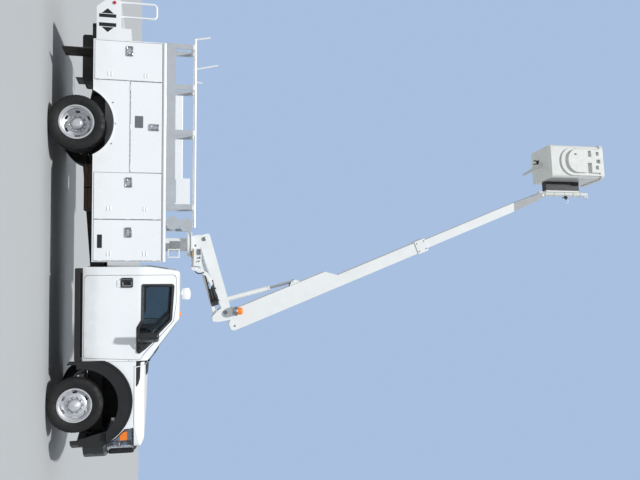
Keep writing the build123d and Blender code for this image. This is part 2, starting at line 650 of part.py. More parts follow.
pack = side(sharp([(BODY_X[0], BODY_Z[0]), (BODY_X[1], BODY_Z[0]), (BODY_X[1], BODY_Z[1]),
                   (BODY_X[0], BODY_Z[1])]),
            PACK_INNER_Y, BODY_HALF)
pack = fillet(pack.edges().filter_by(Axis.X).sort_by(Axis.Z)[-2:], 12)
inner_y = (PACK_INNER_Y + BODY_WALL, BODY_HALF - BODY_WALL)
for name, back, ahead, low, high in BODY_DOORS:
    back = max(back, BODY_X[0] + 12)
    pack -= inset_box((back, ahead), (low, high + 35), BODY_WALL / 2, inner_y)
    pack -= block((back, ahead), (inner_y[1], BODY_HALF + 10), (low, high))
pack -= block((-628, 723), (PACK_INNER_Y - 10, BODY_HALF - 20), (BODY_Z[0] - 10, SHELF_SPLIT_Z - 22))
pack -= side(Pos(0, TYRE_R) * Circle(REAR_ARCH_R), 600, 1300)
rim_face = Pos(0, TYRE_R) * (Circle(REAR_ARCH_R + 14) - Circle(REAR_ARCH_R))
rim_band = side(rim_face, BODY_HALF - 20, BODY_HALF + 10)
pack += rim_band & block((-800, 800), (0, 1300), (BODY_Z[0], 1200))
pack += block((BODY_X[0], BODY_X[1]), (BODY_HALF - 20, BODY_HALF + 16), (DOOR_TOP_Z + 22, DOOR_TOP_Z + 34))
twins("pack", pack)

LATCH_IN = {"rear": 147, "middle": 147, "front": 192}
for name, back, ahead, low, high in BODY_DOORS:
    panel = block((back + SEAM, ahead - SEAM), (BODY_HALF - 19, BODY_HALF + 4), (low + SEAM, high - SEAM))
    panel = chamfer(panel.faces().sort_by(Axis.Y)[-1].edges(), 5)
    if name == "upper":
        panel += Pos(47, BODY_HALF + 4, 1523) * Box(92, 16, 140)
        lying = Rot(0, 90, 0) * Cylinder(4, 70)
        knuckles = [Pos(x, BODY_HALF + 6, low + 5) * lying for x in (-540, 47, 635)]
    else:
        panel += Pos(back + LATCH_IN[name], BODY_HALF + 4, 1160) * Box(140, 16, 92)
        upright, heights = Cylinder(5, 70), (low + 100, 1145, high - 100)
        knuckles = [Pos(ahead - 8, BODY_HALF + 6, z) * upright for z in heights]
    twins(f"body_door_{name}", panel + knuckles)

# Tail shelf with grab hoops and step box
shelf_side = outline([(BODY_X[0] - 1, SHELF_Z[1], 0), (SHELF_X + 15, SHELF_Z[1], 12),
                      (SHELF_X, SHELF_Z[1] - 20, 0),
                      (SHELF_X, 822, 20), (-1730, SHELF_Z[0], 20), (BODY_X[0] - 1, SHELF_Z[0], 0)])
shelf = side(shelf_side, -BODY_HALF, BODY_HALF)
shelf -= block((SHELF_X + 12, BODY_X[0] + 5), (-BODY_HALF + 12, BODY_HALF - 12), (500, SHELF_Z[1] - 12))
shelf -= block((-1900, SHELF_X + 60), (-BODY_HALF + 30, BODY_HALF - 30), (500, 800))
shelf += both(block((-1420, BODY_X[0] - 1), (PACK_INNER_Y, BODY_HALF), (SHELF_Z[1], 1180)))
for x in (-1700, -1300):
    shelf += block((x, x + 40), (-BODY_HALF + 5, BODY_HALF - 5), (980, SHELF_Z[1] - 5))
for x in (-1835, -1616):
    shelf += both(Pos(x, 1120, (SHELF_Z[1] + 1500) / 2) * Cylinder(17, 1500 - SHELF_Z[1]))
HOOP_R = 55
HOOP_TOP = 1548
BEND_FOOT = HOOP_TOP - HOOP_R
corner = HOOP_R * (1 - sin(radians(45)))
hoop = [
    Line((-1835, 1490), (-1835, BEND_FOOT)),
    ThreePointArc((-1835, BEND_FOOT), (-1835 + corner, HOOP_TOP - corner), (-1835 + HOOP_R, HOOP_TOP)),
    Line((-1835 + HOOP_R, HOOP_TOP), (-1616 - HOOP_R, HOOP_TOP)),
    ThreePointArc((-1616 - HOOP_R, HOOP_TOP), (-1616 - corner, HOOP_TOP - corner), (-1616, BEND_FOOT)),
    Line((-1616, BEND_FOOT), (-1616, 1490)),
]
path = Plane.XZ * Wire([line.edge() for line in hoop])
bent = sweep(Plane((-1835, 0, 1490), z_dir=(0, 0, 1)) * Circle(17), path=path)
shelf += both(Pos(0, 1120, 0) * bent)
save("tail_shelf", shelf)

# Mud flaps and their hangers
flap = block((-1110, -1098), (700, 1176), (190, 660)) + block((-1125, -1083), (690, 1176), (628, 652))
save("mud_flaps", both(flap - block((-1300, -900), (600, 1300), (640, 700))))

# Rack on the body top: sill rails, posts and tubes
RACK_POSTS = (-1215, -595, 100, 1232)
rack = block((-1250, 1275), (-1192, -1160), (1702, 1834))
for x in RACK_POSTS:
    for y in (-1176, -760):
        rack += block((x - 38, x + 38), (y - 12, y + 12), (BODY_Z[1] + 2, 2118))
    rack += block((x - 18, x + 18), (-1180, -756), (2080, 2118))
for y, x0, x1 in ((-1150, -1344, 1541), (-780, -1300, 1400)):
    rack += rod((x0, y, 2132), (x1, y, 2132), 18)
rack += rod((-1342, -1150, 2132), (-1385, -1150, 2360), 14) + Pos(-1342, -1150, 2132) * Sphere(18)
rack += rod((-880, -1150, 2120), (-965, -1150, 2475), 12)
rack += rod((-690, -1150, 2120), (-673, -1150, 2238), 12)
REELS = ((1503, 2000), (1475, 1800))
for x, z in REELS:
    flange = extrude(RegularPolygon(108, 8, rotation=22.5), amount=14)
    reel = flange + Pos(0, 0, 50) * Cylinder(60, 80) + Pos(0, 0, 86) * flange
    rack += Pos(x, -1188, z) * Rot(-90, 0, 0) * reel
rack += block((1560, 1600), (-1130, -1090), (1702, 2080)) + block((1480, 1600), (-1130, -1110), (1990, 2010))
rack += block((1470, 1600), (-1130, -1110), (1790, 1810)) + block((1520, 1640), (-1160, -1060), (1702, 1714))
save("body_rack", rack)

# Bins on the left pack with a board ahead of them
bins = block((-907, 594), (PACK_INNER_Y + 6, BODY_HALF), (BODY_Z[1] + 2, 2013))
bins = chamfer(bins.edges().filter_by(Axis.X).sort_by(Axis.Z)[-2:], 14)
bins -= block((-890, 577), (PACK_INNER_Y + 20, BODY_HALF - 14), (BODY_Z[1] + 16, 1996))
for x in (-430, 60):
    bins += block((x - 6, x + 6), (BODY_HALF - 10, BODY_HALF + 8), (BODY_Z[1] + 20, 1960))
bins += block((594, 1054), (PACK_INNER_Y + 6, PACK_INNER_Y + 20), (1900, 2142))
for x in (600, 1030):
    bins += block((x, x + 24), (PACK_INNER_Y + 6, PACK_INNER_Y + 30), (BODY_Z[1] + 2, 2142))
save("roof_bins", bins)

# Pedestal with its valve block and guard loop
pedestal = Pos(TURN_X, 0, (FLOOR_TOP + 2070) / 2) * Cylinder(112, 2070 - FLOOR_TOP)
pedestal += Pos(TURN_X, 0, FLOOR_TOP + 15) * Box(560, 700, 30)
pedestal += Pos(TURN_X, 0, 2093) * Cylinder(200, 46)
gusset = side(sharp([(60, FLOOR_TOP + 10), (250, FLOOR_TOP + 10), (250, FLOOR_TOP + 40), (105, 1400),
                     (60, 1400)]),
              -8, 8)
for angle in range(0, 360, 45):
    pedestal += Pos(TURN_X, 0, 0) * Rot(0, 0, angle) * gusset
valve = block((1735, 1855), (-260, -190), (1780, 1960)) + block((1770, 1810), (-200, -90), (1850, 1890))
for z in range(1800, 1950, 28):
    valve += Pos(1795, -275, z) * Rot(90, 0, 0) * Cylinder(7, 60)
guard = block((1859, 2005), (-310, -290), (1748, 1940)) - block((1879, 1985), (-320, -280), (1768, 1920))
guard += block((1850, 1870), (-300, -255), (1850, 1880))
save("pedestal", pedestal + valve + guard)

# Marker lamps: roof, tail and sides
lens = scale(Sphere(22), (1.5, 1, 1.5))
markers = Pos(2905, 0, 1930) * lens - cab_outer
for y in (180, 560):
    markers += both(Pos(2905, y, 1930) * lens - cab_outer)
markers += both(pin((-1800, 934), 24, BODY_HALF, BODY_HALF + 12))
for y in (-1050, -900, -760):
    markers += both(Pos(SHELF_X - 8, y, 930) * Rot(0, 90, 0) * Cylinder(55, 16))
save("marker_lamps", markers)


# Turntable

cheek_face = outline([(1640, 2148, 30), (2100, 2148, 20), (2189, 2133, 20), (2189, 2200, 30),
                      (2120, 2262, 40),
                      (1800, 2284, 60), (1748, 2400, 45), (1632, 2400, 45), (1620, 2250, 40)])
turntable = Pos(TURN_X, 0, (TURN_Z + 2150) / 2) * Cylinder(215, 2150 - TURN_Z)
turntable += both(side(cheek_face, *CHEEK))
turntable += block((1650, 2110), (-CHEEK[1], CHEEK[1]), (2138, 2150))
turntable += pin(ARM_FOOT, 28, -CHEEK[1] - 8, CHEEK[1] + 8)
turntable += both(pin(LINK_FOOT, 20, LINK_Y[0] - 4, CHEEK[0] + 2))
turntable += both(side(sharp([(1700, 2145), (1770, 2145), (1757, 2216), (1713, 2216)]), 44, 56))
turntable += pin(ARM_JACK_LOW, 20, -56, 56)
turntable += block((1850, 2140), (-190, -CHEEK[1] + 2), (2172, 2300))
save("turntable", turntable)

# Arm: an open topped channel from the turntable to the elbow
ARM_ANGLE = degrees(atan2(ARM_HEAD[1] - ARM_FOOT[1], ARM_HEAD[0] - ARM_FOOT[0]))
ARM_LENGTH = hypot(ARM_HEAD[0] - ARM_FOOT[0], ARM_HEAD[1] - ARM_FOOT[1])


def along_arm(shape):
    """Place a shape drawn along x from the arm's foot pin."""
    return Pos(ARM_FOOT[0], 0, ARM_FOOT[1]) * Rot(0, -ARM_ANGLE, 0) * shape


arm_side = outline([(-75, 112, 40), (1195, 112, 10), (ARM_LENGTH + 40, 45, 40), (ARM_LENGTH + 58, -35, 40),
                    (1195, -42, 20), (1100, -42, 0), (60, -96, 40), (-75, -80, 50)])
arm = side(arm_side, -ARM_HALF, ARM_HALF)
arm -= side(sharp([(-200, -60), (100, -84), (1110, -31), (1110, -200), (1500, -200), (1500, 300),
                   (-200, 300)]),
            -ARM_HALF + ARM_WALL, ARM_HALF - ARM_WALL)
arm -= block((-200, 640), (-55, 55), (-200, 0)) + block((630, 790), (-EYE_SLOT, EYE_SLOT), (-200, 0))
arm += block((90, 110), (-ARM_HALF + 5, ARM_HALF - 5), (20, 60))
arm -= pin((0, 0), 28 + PIN_GAP, -120, 120) + pin((ARM_LENGTH, 0), 25 + PIN_GAP, -120, 120)
LUG_DX, LUG_DZ = ARM_JACK_HIGH[0] - ARM_FOOT[0], ARM_JACK_HIGH[1] - ARM_FOOT[1]
LUG_A = LUG_DX * cos(radians(ARM_ANGLE)) + LUG_DZ * sin(radians(ARM_ANGLE))
LUG_B = -LUG_DX * sin(radians(ARM_ANGLE)) + LUG_DZ * cos(radians(ARM_ANGLE))
lug = side(outline([(LUG_A - 60, -50, 0), (LUG_A - 30, LUG_B - 30, 20), (LUG_A + 30, LUG_B - 30, 20),
                    (LUG_A + 60, -50, 0)]), 44, 54)
arm += both(lug + pin((LUG_A, LUG_B), 20, 44, 56))
save("arm", along_arm(arm))

# Parallel link: two flat bars with a brace
link = side(sharp([(-28, -26), (ARM_LENGTH + 28, -26), (ARM_LENGTH + 28, 26), (-28, 26)], 26), *LINK_Y)
link -= pin((0, 0), 20 + PIN_GAP, 40, 100) + pin((ARM_LENGTH, 0), 20 + PIN_GAP, 40, 100)
link = both(link) + block((960, 990), (-LINK_Y[0] - 2, LINK_Y[0] + 2), (-20, 20))
save("link", Pos(LINK_FOOT[0], 0, LINK_FOOT[1]) * Rot(0, -ARM_ANGLE, 0) * link)


# Cylinders: a barrel with an eye at the low pin, and a rod with an eye at the high pin

def cylinder_pair(name, low, high, barrel_r, rod_r, barrel_length, bore_start, rod_start):
    """Write one cylinder between two pins: its lengths are measured from the low pin."""
    angle = degrees(atan2(high[1] - low[1], high[0] - low[0]))
    reach = hypot(high[0] - low[0], high[1] - low[1])
    place = Pos(low[0], 0, low[1]) * Rot(0, -angle, 0)
    eye = pin((0, 0), EYE_R, -EYE_HALF, EYE_HALF)
    barrel = rod((30, 0, 0), (barrel_length, 0, 0), barrel_r)
    barrel += rod((barrel_length - 30, 0, 0), (barrel_length, 0, 0), barrel_r + 5)
    barrel += eye + Pos(18, 0, 0) * Box(40, 2 * EYE_HALF, 56)
    barrel -= rod((bore_start, 0, 0), (barrel_length + 10, 0, 0), rod_r + PIN_GAP)
    barrel -= pin((0, 0), 20 + PIN_GAP, -100, 100)
    save(f"{name}_barrel", place * barrel)
    stem = rod((rod_start, 0, 0), (reach - 25, 0, 0), rod_r) + Pos(reach, 0, 0) * eye
    save(f"{name}_rod", place * stem)


EYE_R = 36
EYE_HALF = 40
cylinder_pair("arm_cylinder", ARM_JACK_LOW, ARM_JACK_HIGH, 38, 24, 560, 140, 180)
cylinder_pair("boom_cylinder", LIFT_LOW, LIFT_HIGH, 41, 25, 760, 50, 350)

# Elbow: two cheeks joined by a back plate, with a tongue inside the arm for the lift cylinder
elbow_face = outline([(2845, 2640, 30), (2905, 2560, 40), (2985, 2490, 40), (3072, 2490, 40),
                      (3076, 2600, 40),
                      (3044, 2790, 40), (2985, 2925, 50), (2890, 2950, 50), (2850, 2880, 40)])
elbow = both(side(elbow_face, *CHEEK))
elbow += side(sharp([(3040, 2600), (3060, 2600), (3032, 2750), (3012, 2750)]), -CHEEK[1], CHEEK[1])
elbow += pin(ARM_HEAD, 25, -CHEEK[1] - 8, CHEEK[1] + 8) + pin(BOOM_PIN, 28, -CHEEK[1] - 8, CHEEK[1] + 8)
elbow += both(pin(LINK_HEAD, 20, LINK_Y[0] - 4, CHEEK[0] + 2))
tongue = outline([(2665, 2700, 30), (2700, 2694, 20), (2900, 2662, 30), (3052, 2650, 0), (3035, 2740, 0),
                  (2760, 2772, 30), (2675, 2772, 30)])
elbow += both(side(tongue, 44, 54)) + pin(LIFT_LOW, 20, -54, 54)
BEACON = (2895, -206)
BEACON_Z = 2855
elbow += block((BEACON[0] - 45, BEACON[0] + 45), (BEACON[1] - 50, -CHEEK[0]), (BEACON_Z - 15, BEACON_Z))
save("elbow", elbow)
base = rod((*BEACON, BEACON_Z), (*BEACON, BEACON_Z + 70), 70)
dome = rod((*BEACON, BEACON_Z + 70), (*BEACON, BEACON_Z + 165), 62)
save("beacon", base + fillet(dome.edges().sort_by(Axis.Z)[-1:], 22))


# Boom: drawn along x from its pin, the upper face up

def along_boom(shape):
    """Place a shape drawn along +x, its underside toward -z, with its pin at the origin."""
    return Pos(BOOM_PIN[0], 0, BOOM_PIN[1]) * Rot(0, -(90 + BOOM_TILT), 0) * Rot(180, 0, 0) * shape


def box_tube(x0, x1, depth, half, wall):
    """A box tube along the boom, about its centre line."""
    low, high = CENTRE - depth / 2, CENTRE + depth / 2
    bore = block((x0 - 5, x1 + 5), (-half + wall, half - wall), (low + wall, high - wall))
    return block((x0, x1), (-half, half), (low, high)) - bore


CENTRE = -BOOM_AXIS
TOP = CENTRE + BOOM_DEPTH / 2
UNDER = CENTRE - BOOM_DEPTH / 2 - ROOT_DEPTH
boom = box_tube(40, COLLAR[1] - 5, BOOM_DEPTH, BOOM_HALF, 8)
root = side(outline([(-50, -40, 40), (40, UNDER, 60), (BUMP - 60, UNDER, 20),
                     (BUMP + 140, UNDER + ROOT_DEPTH + 5, 0), (BUMP + 140, UNDER + ROOT_DEPTH + 12, 0),
                     (40, UNDER + ROOT_DEPTH + 12, 0), (40, TOP - 2, 0),
                     (-TAIL, TOP - 2, 60), (-TAIL, CENTRE - 40, 60)]), -BOOM_HALF, BOOM_HALF)
root -= side(sharp([(60, UNDER + 10), (BUMP - 80, UNDER + 10), (BUMP + 60, UNDER + ROOT_DEPTH - 4),
                    (60, UNDER + ROOT_DEPTH - 4)]), -BOOM_HALF + 10, BOOM_HALF - 10)
boom += root
boom += box_tube(*COLLAR, BOOM_DEPTH + 34, BOOM_HALF + 14, 24)
E2 = (LIFT_HIGH[0] - BOOM_PIN[0], LIFT_HIGH[1] - BOOM_PIN[1])
TILT = radians(90 + BOOM_TILT)
E2_A = E2[0] * cos(TILT) + E2[1] * sin(TILT)
E2_B = -(-E2[0] * sin(TILT) + E2[1] * cos(TILT))
ear = outline([(E2_A - 110, UNDER + 5, 0), (E2_A - 35, E2_B - 20, 25), (E2_A + 35, E2_B - 20, 25),
               (E2_A + 110, UNDER + 5, 0)])
boom -= block((E2_A - 100, E2_A + 100), (-EYE_SLOT, EYE_SLOT), (UNDER - 5, UNDER + 60))
boom += both(side(ear, 44, 60) + pin((E2_A, E2_B), 20, 44, 68))
boom -= pin((0, 0), 28 + PIN_GAP, -150, 150)
save("boom_base", along_boom(boom))

INNER_FROM = 2200
inner = box_tube(INNER_FROM, 5480, INNER_DEPTH, INNER_HALF, 8)
tip = side(outline([(5440, CENTRE - 76, 0), (5440, CENTRE + 76, 0), (5950, CENTRE + 60, 60),
                    (TIP_PIN + 62, CENTRE + 45, 40), (TIP_PIN + 62, CENTRE - 45, 40),
                    (5950, CENTRE - 60, 60)]), -60, 60)
inner += tip
inner -= pin((TIP_PIN, CENTRE), 25 + PIN_GAP, -150, 150)
inner -= block((5900, 6300), (-48, 48), (CENTRE - 200, CENTRE + 200))
save("boom_inner", along_boom(inner))

# Bucket carrier: a lug held in the boom tip, a foot and an upright column
S = (cos(TILT), sin(TILT))
TIP = (BOOM_PIN[0] + TIP_PIN * S[0] + CENTRE * S[1], BOOM_PIN[1] + TIP_PIN * S[1] - CENTRE * S[0])
carrier = side(outline([(TIP[0] - 62, TIP[1] - 50, 40), (TIP[0] + 50, TIP[1] - 50, 40),
                        (TIP[0] + 50, TIP[1] + 50, 40), (TIP[0] - 62, TIP[1] + 60, 20)]), -46, 46)
carrier += pin(TIP, 25, -66, 66)
carrier += rod((COLUMN_X, 0, TIP[1] - 60), (COLUMN_X, 0, COLUMN_TOP), COLUMN_R)
carrier += rod((COLUMN_X, 0, TIP[1] - 60), (COLUMN_X, 0, SLEEVE_Z[0] - 6), SLEEVE_R)
for z, reach in ((9590, 62), (9545, 50)):
    carrier += rod((COLUMN_X, 0, z), (COLUMN_X + reach, 0, z + 25), 13)
    carrier += Pos(COLUMN_X + reach, 0, z + 25) * Sphere(22)
save("bucket_column", carrier)


# Bucket: an upright tub with outside steps, turned about its column

def tub(inset, low, high):
    """The bucket's rounded block, drawn in by an inset."""
    return plan(RectangleRounded(BUCKET[0] - 2 * inset, BUCKET[1] - 2 * inset, 60 - inset), low, high)


FACE_Y = -BUCKET[1] / 2
bucket = tub(0, 0, BUCKET_HIGH - 40)
bucket += tub(-BUCKET_LIP, BUCKET_HIGH - 60, BUCKET_HIGH)

# Step panel: an outer arch, and an inner arch with toe holes as across, up, width and height
arches = (((-252, 272), 190, 250, 24), ((-226, 217), 324, 205, 48))
for (left, right), foot, r, stand_off in arches:
    panel = outline([(left, foot, r), (right, foot, r), (right, 1010, 20), (left, 1010, 20)])
    bucket += side(panel, FACE_Y - stand_off, FACE_Y + 20)
groove = outline([(-238, 268, 225), (245, 268, 225), (245, 985, 5), (-238, 985, 5)])
inner_arch = outline([(-226, 324, 205), (217, 324, 205), (217, 985, 5), (-226, 985, 5)])
bucket -= side(groove - inner_arch, FACE_Y - 60, FACE_Y - 8)
for x, z, wide, high in ((-180, 900, 72, 62), (-34, 900, 72, 82), (84, 880, 72, 62), (-200, 734, 120, 70),
                         (32, 713, 200, 90), (-140, 450, 30, 46)):
    bucket -= block((x, x + wide), (FACE_Y - 60, FACE_Y - 4), (z, z + high))
bucket += side(sharp([(-55, 5), (35, 5), (225, -400), (185, -400)]), -12, 12)

# Mount: a deep plate from the bucket's side to the sleeve on its column
mount = block((BUCKET[0] / 2 - 8, 515), (0, 130), (60, 750))
bucket = Pos(BUCKET_X, 0, BUCKET_Z) * Rot(0, 0, BUCKET_YAW) * (bucket + mount)
bucket -= Pos(BUCKET_X, 0, BUCKET_Z) * Rot(0, 0, BUCKET_YAW) * tub(BUCKET_WALL, 14, BUCKET_HIGH + 60)
bucket += rod((COLUMN_X, 0, SLEEVE_Z[0]), (COLUMN_X, 0, SLEEVE_Z[1]), SLEEVE_R)
for z in (SLEEVE_Z[0], 8900, 9120, 9300, SLEEVE_Z[1] - 30):
    bucket += rod((COLUMN_X, 0, z), (COLUMN_X, 0, z + 30), SLEEVE_R + 6)
bucket -= rod((COLUMN_X, 0, BUCKET_Z), (COLUMN_X, 0, COLUMN_TOP), COLUMN_R + PIN_GAP)
save("bucket", bucket)
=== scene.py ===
"""Looks of a bucket truck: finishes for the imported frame, and the small pieces that sit on it."""

import logging
import math
from dataclasses import dataclass, field
from enum import Enum
from typing import Sequence

import bmesh
import bpy
from mathutils import Matrix, Vector


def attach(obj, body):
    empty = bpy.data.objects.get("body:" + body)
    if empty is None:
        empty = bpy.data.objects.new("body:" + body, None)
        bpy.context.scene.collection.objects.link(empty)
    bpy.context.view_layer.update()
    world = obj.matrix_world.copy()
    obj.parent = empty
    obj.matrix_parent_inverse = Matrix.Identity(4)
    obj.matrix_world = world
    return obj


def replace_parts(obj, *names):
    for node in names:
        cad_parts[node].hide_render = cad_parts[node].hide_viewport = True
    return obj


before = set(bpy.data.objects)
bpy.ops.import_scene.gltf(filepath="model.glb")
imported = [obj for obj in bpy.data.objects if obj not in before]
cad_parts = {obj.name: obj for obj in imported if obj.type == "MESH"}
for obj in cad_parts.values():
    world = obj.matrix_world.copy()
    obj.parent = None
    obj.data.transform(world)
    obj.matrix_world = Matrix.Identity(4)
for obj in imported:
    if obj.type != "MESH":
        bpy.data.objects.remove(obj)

LOG = logging.getLogger("truck")
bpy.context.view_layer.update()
MID_X = 1665.0
MM = 0.001
Point2 = tuple[float, float]
Corner = tuple[float, float, float]


# Colour, node and mesh helpers

def linear(code: str) -> tuple[float, float, float, float]:
    """Turn an sRGB hex value into a linear colour.

    Args:
        code: The colour as "#RRGGBB".

    Returns:
        Linear red, green, blue and an alpha of 1.
    """
    parts = [int(code[i:i + 2], 16) / 255 for i in (1, 3, 5)]
    red, green, blue = (c / 12.92 if c <= 0.04045 else ((c + 0.055) / 1.055) ** 2.4 for c in parts)
    return red, green, blue, 1.0


def at(x: float, y: float, z: float) -> Vector:
    """Turn millimetres from the rear axle's centre line and the ground into a point of the frame."""
    return Vector(((x - MID_X) * MM, y * MM, z * MM))


def add(tree: bpy.types.NodeTree, kind: str, inputs: dict | None = None,
        **settings: object) -> bpy.types.Node:
    """Add a node with its settings, and set or link its inputs.

    Args:
        tree: The node tree.
        kind: The node's type name.
        inputs: Socket name or number to a value, or to the output socket that feeds it.
        settings: Attributes of the node.

    Returns:
        The new node.
    """
    node = tree.nodes.new(kind)
    for key, value in settings.items():
        setattr(node, key, value)
    for key, value in (inputs or {}).items():
        if isinstance(value, bpy.types.NodeSocket):
            tree.links.new(value, node.inputs[key])
        else:
            node.inputs[key].default_value = value
    return node


class Plane(Enum):
    """The drawing plane of a flat outline, with the frame axes of its two numbers."""

    SIDE = "x and z, thick along y"
    FRONT = "y and z, thick along x"
    TOP = "x and y, thick along z"

    def lift(self, a: float, b: float, depth: float) -> Vector:
        """Return the point of the frame for a drawn point and a depth, in millimetres."""
        if self is Plane.SIDE:
            return at(a, depth, b)
        if self is Plane.FRONT:
            return at(depth, a, b)
        return at(a, b, depth)


class Hand(Enum):
    """A side of the truck, with the sign of its y."""

    LEFT = 1
    RIGHT = -1

    @property
    def word(self) -> str:
        """Return the side's name as the nodes use it."""
        return self.name.lower()


def rounded(corners: Sequence[Corner], steps: int = 5) -> list[Point2]:
    """Round the corners of a polygon.

    Args:
        corners: Corner points, each with its radius.
        steps: Segments in each rounded corner.

    Returns:
        The polygon's points.
    """
    points: list[Point2] = []
    count = len(corners)
    for i, (x, y, radius) in enumerate(corners):
        here = Vector((x, y))
        before = (Vector(corners[i - 1][:2]) - here).normalized()
        after = (Vector(corners[(i + 1) % count][:2]) - here).normalized()
        half = before.angle(after) / 2
        if radius <= 0 or half > math.radians(89):
            points.append((x, y))
            continue
        centre = here + (before + after).normalized() * (radius / math.sin(half))
        start = here + before * (radius / math.tan(half)) - centre
        end = here + after * (radius / math.tan(half)) - centre
        turn = start.angle_signed(end)
        for k in range(steps + 1):
            spin = -turn * k / steps
            c, s = math.cos(spin), math.sin(spin)
            points.append((centre.x + start.x * c - start.y * s, centre.y + start.x * s + start.y * c))
    return points


def inset(corners: Sequence[Corner], gap: float) -> list[Corner]:
    """Move every edge of a polygon inwards.

    Args:
        corners: Corner points in order, each with its radius.
        gap: The distance to move, in the corners' unit.

    Returns:
        The new corners, their radii drawn in too.
    """
    area = sum(a[0] * b[1] - b[0] * a[1] for a, b in zip(corners, [*corners[1:], corners[0]]))
    turn = 1 if area > 0 else -1
    moved = []
    for i, (x, y, radius) in enumerate(corners):
        before, after = corners[i - 1], corners[(i + 1) % len(corners)]
        d0 = Vector((x - before[0], y - before[1])).normalized()
        d1 = Vector((after[0] - x, after[1] - y)).normalized()
        n0, n1 = Vector((-d0.y, d0.x)) * turn, Vector((-d1.y, d1.x)) * turn
        bisector = (n0 + n1).normalized()
        step = gap / max(0.2, bisector.dot(n0))
        moved.append((x + bisector.x * step, y + bisector.y * step,
                      max(1.0, radius - gap * 0.6) if radius else 0.0))
    return moved


def box_corners(a: Point2, b: Point2, radius: float = 0.0) -> list[Corner]:
    """Return the corners of a rectangle from its ranges along the two axes."""
    return [(a[0], b[0], radius), (a[1], b[0], radius), (a[1], b[1], radius), (a[0], b[1], radius)]


def finish_piece(obj: bpy.types.Object, finish: "Finish", body: str, bevel: float = 0.0, smooth: bool = True,
                 segments: int = 2) -> bpy.types.Object:
    """Dress a new object and hang it on its body.

    Args:
        obj: The object, already in place.
        finish: Its finish.
        body: The body of the frame that it moves with.
        bevel: Width of the bevel on its sharp edges, in millimetres.
        smooth: Whether its gentle edges are shaded smooth.
        segments: Segments across each bevel.

    Returns:
        The same object.
    """
    obj.data.materials.append(finish.material())
    if obj.type == "MESH":
        if bevel > 0:
            cut = obj.modifiers.new("edge", "BEVEL")
            cut.width, cut.segments, cut.limit_method = bevel * MM, segments, "ANGLE"
            cut.angle_limit = math.radians(35)
            cut.harden_normals = False
        if smooth:
            obj.data.polygons.foreach_set("use_smooth", [True] * len(obj.data.polygons))
            obj.data.set_sharp_from_angle(angle=math.radians(40))
    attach(obj, body)
    LOG.info("%s on %s", obj.name, body)
    return obj


def from_bmesh(name: str, mesh: bmesh.types.BMesh) -> bpy.types.Object:
    """Turn a bmesh into an object of the scene, with its faces pointing out."""
    bmesh.ops.recalc_face_normals(mesh, faces=mesh.faces)
    data = bpy.data.meshes.new(name)
    mesh.to_mesh(data)
    mesh.free()
    obj = bpy.data.objects.new(name, data)
    bpy.context.scene.collection.objects.link(obj)
    return obj


def sweep_rings(mesh: bmesh.types.BMesh, rings: Sequence[Sequence[Vector]], caps: bool = True,
                closed: bool = False) -> None:
    """Skin rings of equal length.

    Args:
        mesh: The bmesh to add to.
        rings: The rings in order, each a list of points.
        caps: Whether the first and last ring are filled.
        closed: Whether the last ring joins the first.
    """
    made = [[mesh.verts.new(p) for p in ring] for ring in rings]
    pairs = list(zip(made, made[1:])) + ([(made[-1], made[0])] if closed else [])
    for low, high in pairs:
        for i in range(len(low)):
            j = (i + 1) % len(low)
            mesh.faces.new((low[i], low[j], high[j], high[i]))
    if caps and not closed:
        mesh.faces.new(made[0])
        mesh.faces.new(made[-1])


def add_prism(mesh: bmesh.types.BMesh, plane: Plane, points: Sequence[tuple], low: float,
              high: float) -> None:
    """Add a flat outline with a thickness, in millimetres, to a bmesh."""
    sweep_rings(mesh, [[plane.lift(point[0], point[1], depth) for point in points] for depth in (low, high)])


def add_round(mesh: bmesh.types.BMesh, start: Vector, end: Vector, radii: Sequence[Point2],
              steps: int = 24) -> None:
    """Add a turned form between two points.

    Args:
        mesh: The bmesh to add to.
        start: One end of its axis.
        end: The other end.
        radii: Pairs of the share along the axis and the radius in millimetres.
        steps: Sides of the form.
    """
    axis = end - start
    turn = axis.to_track_quat("Z", "Y").to_matrix()
    rings = []
    for share, radius in radii:
        base = start + axis * share
        rings.append([base + turn @ Vector((math.cos(t) * radius * MM, math.sin(t) * radius * MM, 0))
                      for t in (2 * math.pi * k / steps for k in range(steps))])
    sweep_rings(mesh, rings)


def add_pipe(mesh: bmesh.types.BMesh, points: Sequence[Vector], radius: float, steps: int = 12) -> None:
    """Add a round tube with mitred bends along points of the frame; the radius is in millimetres."""
    rings = []
    normal: Vector | None = None
    for i, here in enumerate(points):
        ahead = (points[min(i + 1, len(points) - 1)] - points[max(i - 1, 0)]).normalized()
        side = (normal or ahead.orthogonal()) - ahead * (normal or ahead.orthogonal()).dot(ahead)
        side.normalize()
        normal, other = side, ahead.cross(side)
        rings.append([here + (side * math.cos(t) + other * math.sin(t)) * radius * MM
                      for t in (2 * math.pi * k / steps for k in range(steps))])
    sweep_rings(mesh, rings)


def smooth_line(points: Sequence[Vector], steps: int = 6) -> list[Vector]:
    """Run a smooth line through points.

    Args:
        points: The points to pass through.
        steps: New points in each span.

    Returns:
        The points of the line.
    """
    line = []
    last = len(points) - 1
    for i in range(last):
        p0, p1, p2, p3 = points[max(i - 1, 0)], points[i], points[i + 1], points[min(i + 2, last)]
        for k in range(steps):
            t = k / steps
            line.append(0.5 * ((2 * p1) + (p2 - p0) * t + (2 * p0 - 5 * p1 + 4 * p2 - p3) * t * t
                               + (3 * p1 - p0 - 3 * p2 + p3) * t ** 3))
    return [*line, points[-1]]


# Finishes

